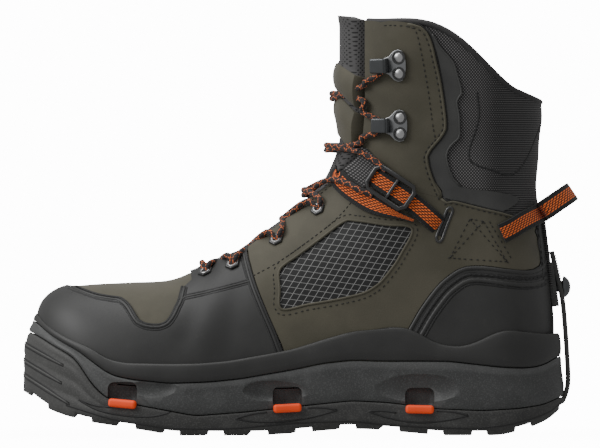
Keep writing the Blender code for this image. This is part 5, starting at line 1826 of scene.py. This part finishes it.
# %% Bumper and side grooves
# Grooves of the toe bumper: start, height there, height at the tip, half spread of the pair
BUMPER = ((295.5, 41.0, 53.8, 1.1), (296.5, 30.6, 44.0, 1.2), (292.0, 18.4, 35.6, 1.2))
LENSES = (
    ((286.5, 20.9), (275, 15.0), (258, 11.6), (243, 11.2), (232.5, 13.6)),
    ((194, 9.7), (182, 8.0), (165, 8.3), (150, 10.6), (134.5, 14.8)),
    ((115.8, 13.9), (104, 10.2), (88, 7.6), (72, 8.6), (57.5, 11.5)),
    ((286.0, 20.9), (276, 17.5), (268, 16.8), (262, 18.2)), ((241, 16.0), (237, 15.0), (232.5, 13.8)),
    ((194, 9.9), (185, 12.4), (176, 13.6)), ((152, 16.2), (143, 16.2), (135, 15.0)),
    ((116, 14.1), (108, 14.4), (100, 13.2)), ((76, 14.2), (66, 13.6), (58, 11.8)),
)
GROOVE_LINE = (
    (294, 17.8), (281, 14.0), (267, 10.0), (250, 6.9), (232, 4.6), (198, 4.2), (160, 7.2),
    (127, 8.3), (104, 6.1), (66, 4.4), (50, 4.4), (28, 7.6), (10, 13.4), (2, 20.0),
)
SOLE_SIDE = BVHTree.FromPolygons([vert.co.copy() for vert in outsole.data.vertices],
                                 [list(face.vertices) for face in outsole.data.polygons])
bumper, ribs = [], []
for start, low_z, tip_z, spread in BUMPER:
    for sign, keep in ((-1, bumper), (0, ribs), (1, bumper)):
        around = []
        for side in SIDES:
            half = []
            for k in range(20):
                t = k / 19
                x = lerp(start, 319.9, 1 - (1 - t) ** 2)
                z = lerp(low_z, tip_z, (x - start) / (LENGTH_MM - start))
                z += sign * spread * (0.3 + 0.7 * min(t * 4, 1))
                half.append(on_sole(x, z, side, 0.0))
            around.append(half)
        keep.append(around[0] + around[1][-2::-1])
lines = [sole_line(points, side, 0.0) for points in LENSES + (GROOVE_LINE,) for side in SIDES]
# The bumper grooves, lens lines and side groove are dark cords of painted shade; the ribs between the
# bumper grooves are rubber
sole_groove_shade = sole_lines("sole_groove_shade", DARK_THREAD_AND_SHADE, SOLE_SIDE, bumper + lines, 0.00075, 0.00040)
sole_ribs = sole_lines("bumper_ribs", TREAD_RUBBER, SOLE_SIDE, ribs, 0.00085, 0.00035)
attach(sole_groove_shade, "sole_rubber")
attach(sole_ribs, "sole_rubber")
print("groove faces", len(sole_groove_shade.data.polygons))

# %% Windows, recesses and tabs
# Centre forward of the heel, centre height, half length, half height and depth of each recess, in
# millimetres
RECESSES = (
    (244.3, 28.0, 15.5, 5.6, 3.2), (163.6, 26.4, 22.0, 6.4, 2.2), (88.2, 28.0, 25.0, 8.6, 3.2),
)
# Share of the length, share of the seat's height and tilt of each tab
TAB_PLACES = ((0.8145, 0.520, 0.09), (0.512, 0.445, -0.05), (0.269, 0.425, 0.02))
DISH_DEPTH = 0.0075


def carve(target, obj, matrix):
    """Cuts a primitive out of a piece and removes it."""
    obj.data.transform(matrix)
    tool = bmesh.new()
    tool.from_mesh(obj.data)
    bpy.data.objects.remove(obj)
    cut(target, tool, "DIFFERENCE")


for (centre, centre_z, half_length, half_height, deep), (share, level, tilt) in zip(RECESSES, TAB_PLACES):
    for side in SIDES:
        bpy.ops.mesh.primitive_uv_sphere_add(segments=36, ring_count=18, radius=1.0)
        middle = on_sole(centre, centre_z, side, 0.0) + Vector((0, side * (DISH_DEPTH - deep * MM), 0))
        size = (half_length * MM * 1.25, DISH_DEPTH, half_height * MM * 1.25, 1)
        carve(sole_frame, bpy.context.object, Matrix.Translation(middle) @ Matrix.Diagonal(size))
        bpy.ops.mesh.primitive_cube_add(size=1.0)
        block = taken("window_cutter", None, (0.0172, 0.014, 0.0125))
        apply_modifier(block, "BEVEL", width=0.0038, segments=4)
        place = on_sole(share * LENGTH_MM, level * SEAT_MM + 6.4, side, 0.0)
        carve(sole_frame, block, Matrix.Translation(place))
soften(sole_frame, 0.0005, 2, 50)
print("frame faces", len(sole_frame.data.polygons))

# %% Tabs
for number, (share, level, tilt) in enumerate(TAB_PLACES, 1):
    for side, tag in TAGS:
        tab = box_piece(f"tab_{tag}_{number}", (0.0166, 0.0050, 0.0050), (0, 0, 0), ORANGE, 0.0018, 4)
        place = on_sole(share * LENGTH_MM, level * SEAT_MM, side, 0.0006)
        ahead = on_sole(share * LENGTH_MM + 6, level * SEAT_MM, side, 0.0006) - place
        turn = Matrix.Rotation(math.atan2(ahead.y, ahead.x), 4, "Z") @ Matrix.Rotation(-tilt, 4, "Y")
        tab.data.transform(Matrix.Translation(place) @ turn)
        attach(tab, "orange_plastic", f"lock_tab_{tag}_{number}")
print("tabs set")

# %% [markdown]
# ## Light, floor and camera
# A white sweep and broad soft lights, with the camera level at the lateral side on a long lens.

# %% Stage
m = Material("white_floor")
spread = (m.x * m.x + m.y * m.y).math("SQRT")
plug(m.tree, m.shader.inputs["Alpha"], (1 - spread.ramp(0.05, 0.45)) * 0.10)
floor_mat = m.done((0.93, 0.93, 0.93), 0.9)
bpy.ops.mesh.primitive_plane_add(size=2.0, location=(0, 0, 0))
floor = bpy.context.object
floor.name = "floor"
floor.data.materials.append(floor_mat)
floor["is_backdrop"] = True
world = bpy.data.worlds.new("studio")
world.use_nodes = True
tree = world.node_tree
WHITE = (1.0, 1.0, 1.0)
background = tree.nodes["Background"]
plug(tree, background.inputs["Color"], WHITE)
plug(tree, background.inputs["Strength"], 0.46)
card = shader_node(tree, "ShaderNodeBackground", {"Color": WHITE, "Strength": 14.0})
seen = shader_node(tree, "ShaderNodeLightPath", {}, "Is Camera Ray")
lit = Value(tree, background.outputs[0])
shown = shader_node(tree, "ShaderNodeMixShader", {"Fac": seen, 1: lit, 2: card})
plug(tree, tree.nodes["World Output"].inputs["Surface"], shown)
bpy.context.scene.world = world


def area_light(name, size, power, place, target):
    data = bpy.data.lights.new(name, "AREA")
    data.shape, data.size, data.energy = "SQUARE", size, power
    obj = bpy.data.objects.new(name, data)
    bpy.context.collection.objects.link(obj)
    obj.location = place
    obj.rotation_euler = (Vector(target) - Vector(place)).to_track_quat("-Z", "Y").to_euler()
    return obj


area_light("key", 0.8, 17.5, (1.2, 0.55, 0.95), (0.05, 0, 0.08))
area_light("top", 1.0, 13.0, (0.2, 0.1, 1.6), (0, 0, 0.1))

camera_data = bpy.data.cameras.new("camera")
camera_data.sensor_width = 36.0
camera_data.lens = 1000.0
camera = bpy.data.objects.new("camera", camera_data)
bpy.context.collection.objects.link(camera)
camera.location = (HEEL_X + 0.1564, 9.83 + CENTRE_Y, 0.1241)
camera.rotation_euler = (math.radians(90), 0, math.radians(180))
bpy.context.scene.camera = camera
print("camera at", tuple(round(value, 4) for value in camera.location))

# %% [markdown]
# ## Size and finish

# %% Finish
low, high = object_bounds()
print("scene box", [round(value, 4) for value in (*low, *high)])
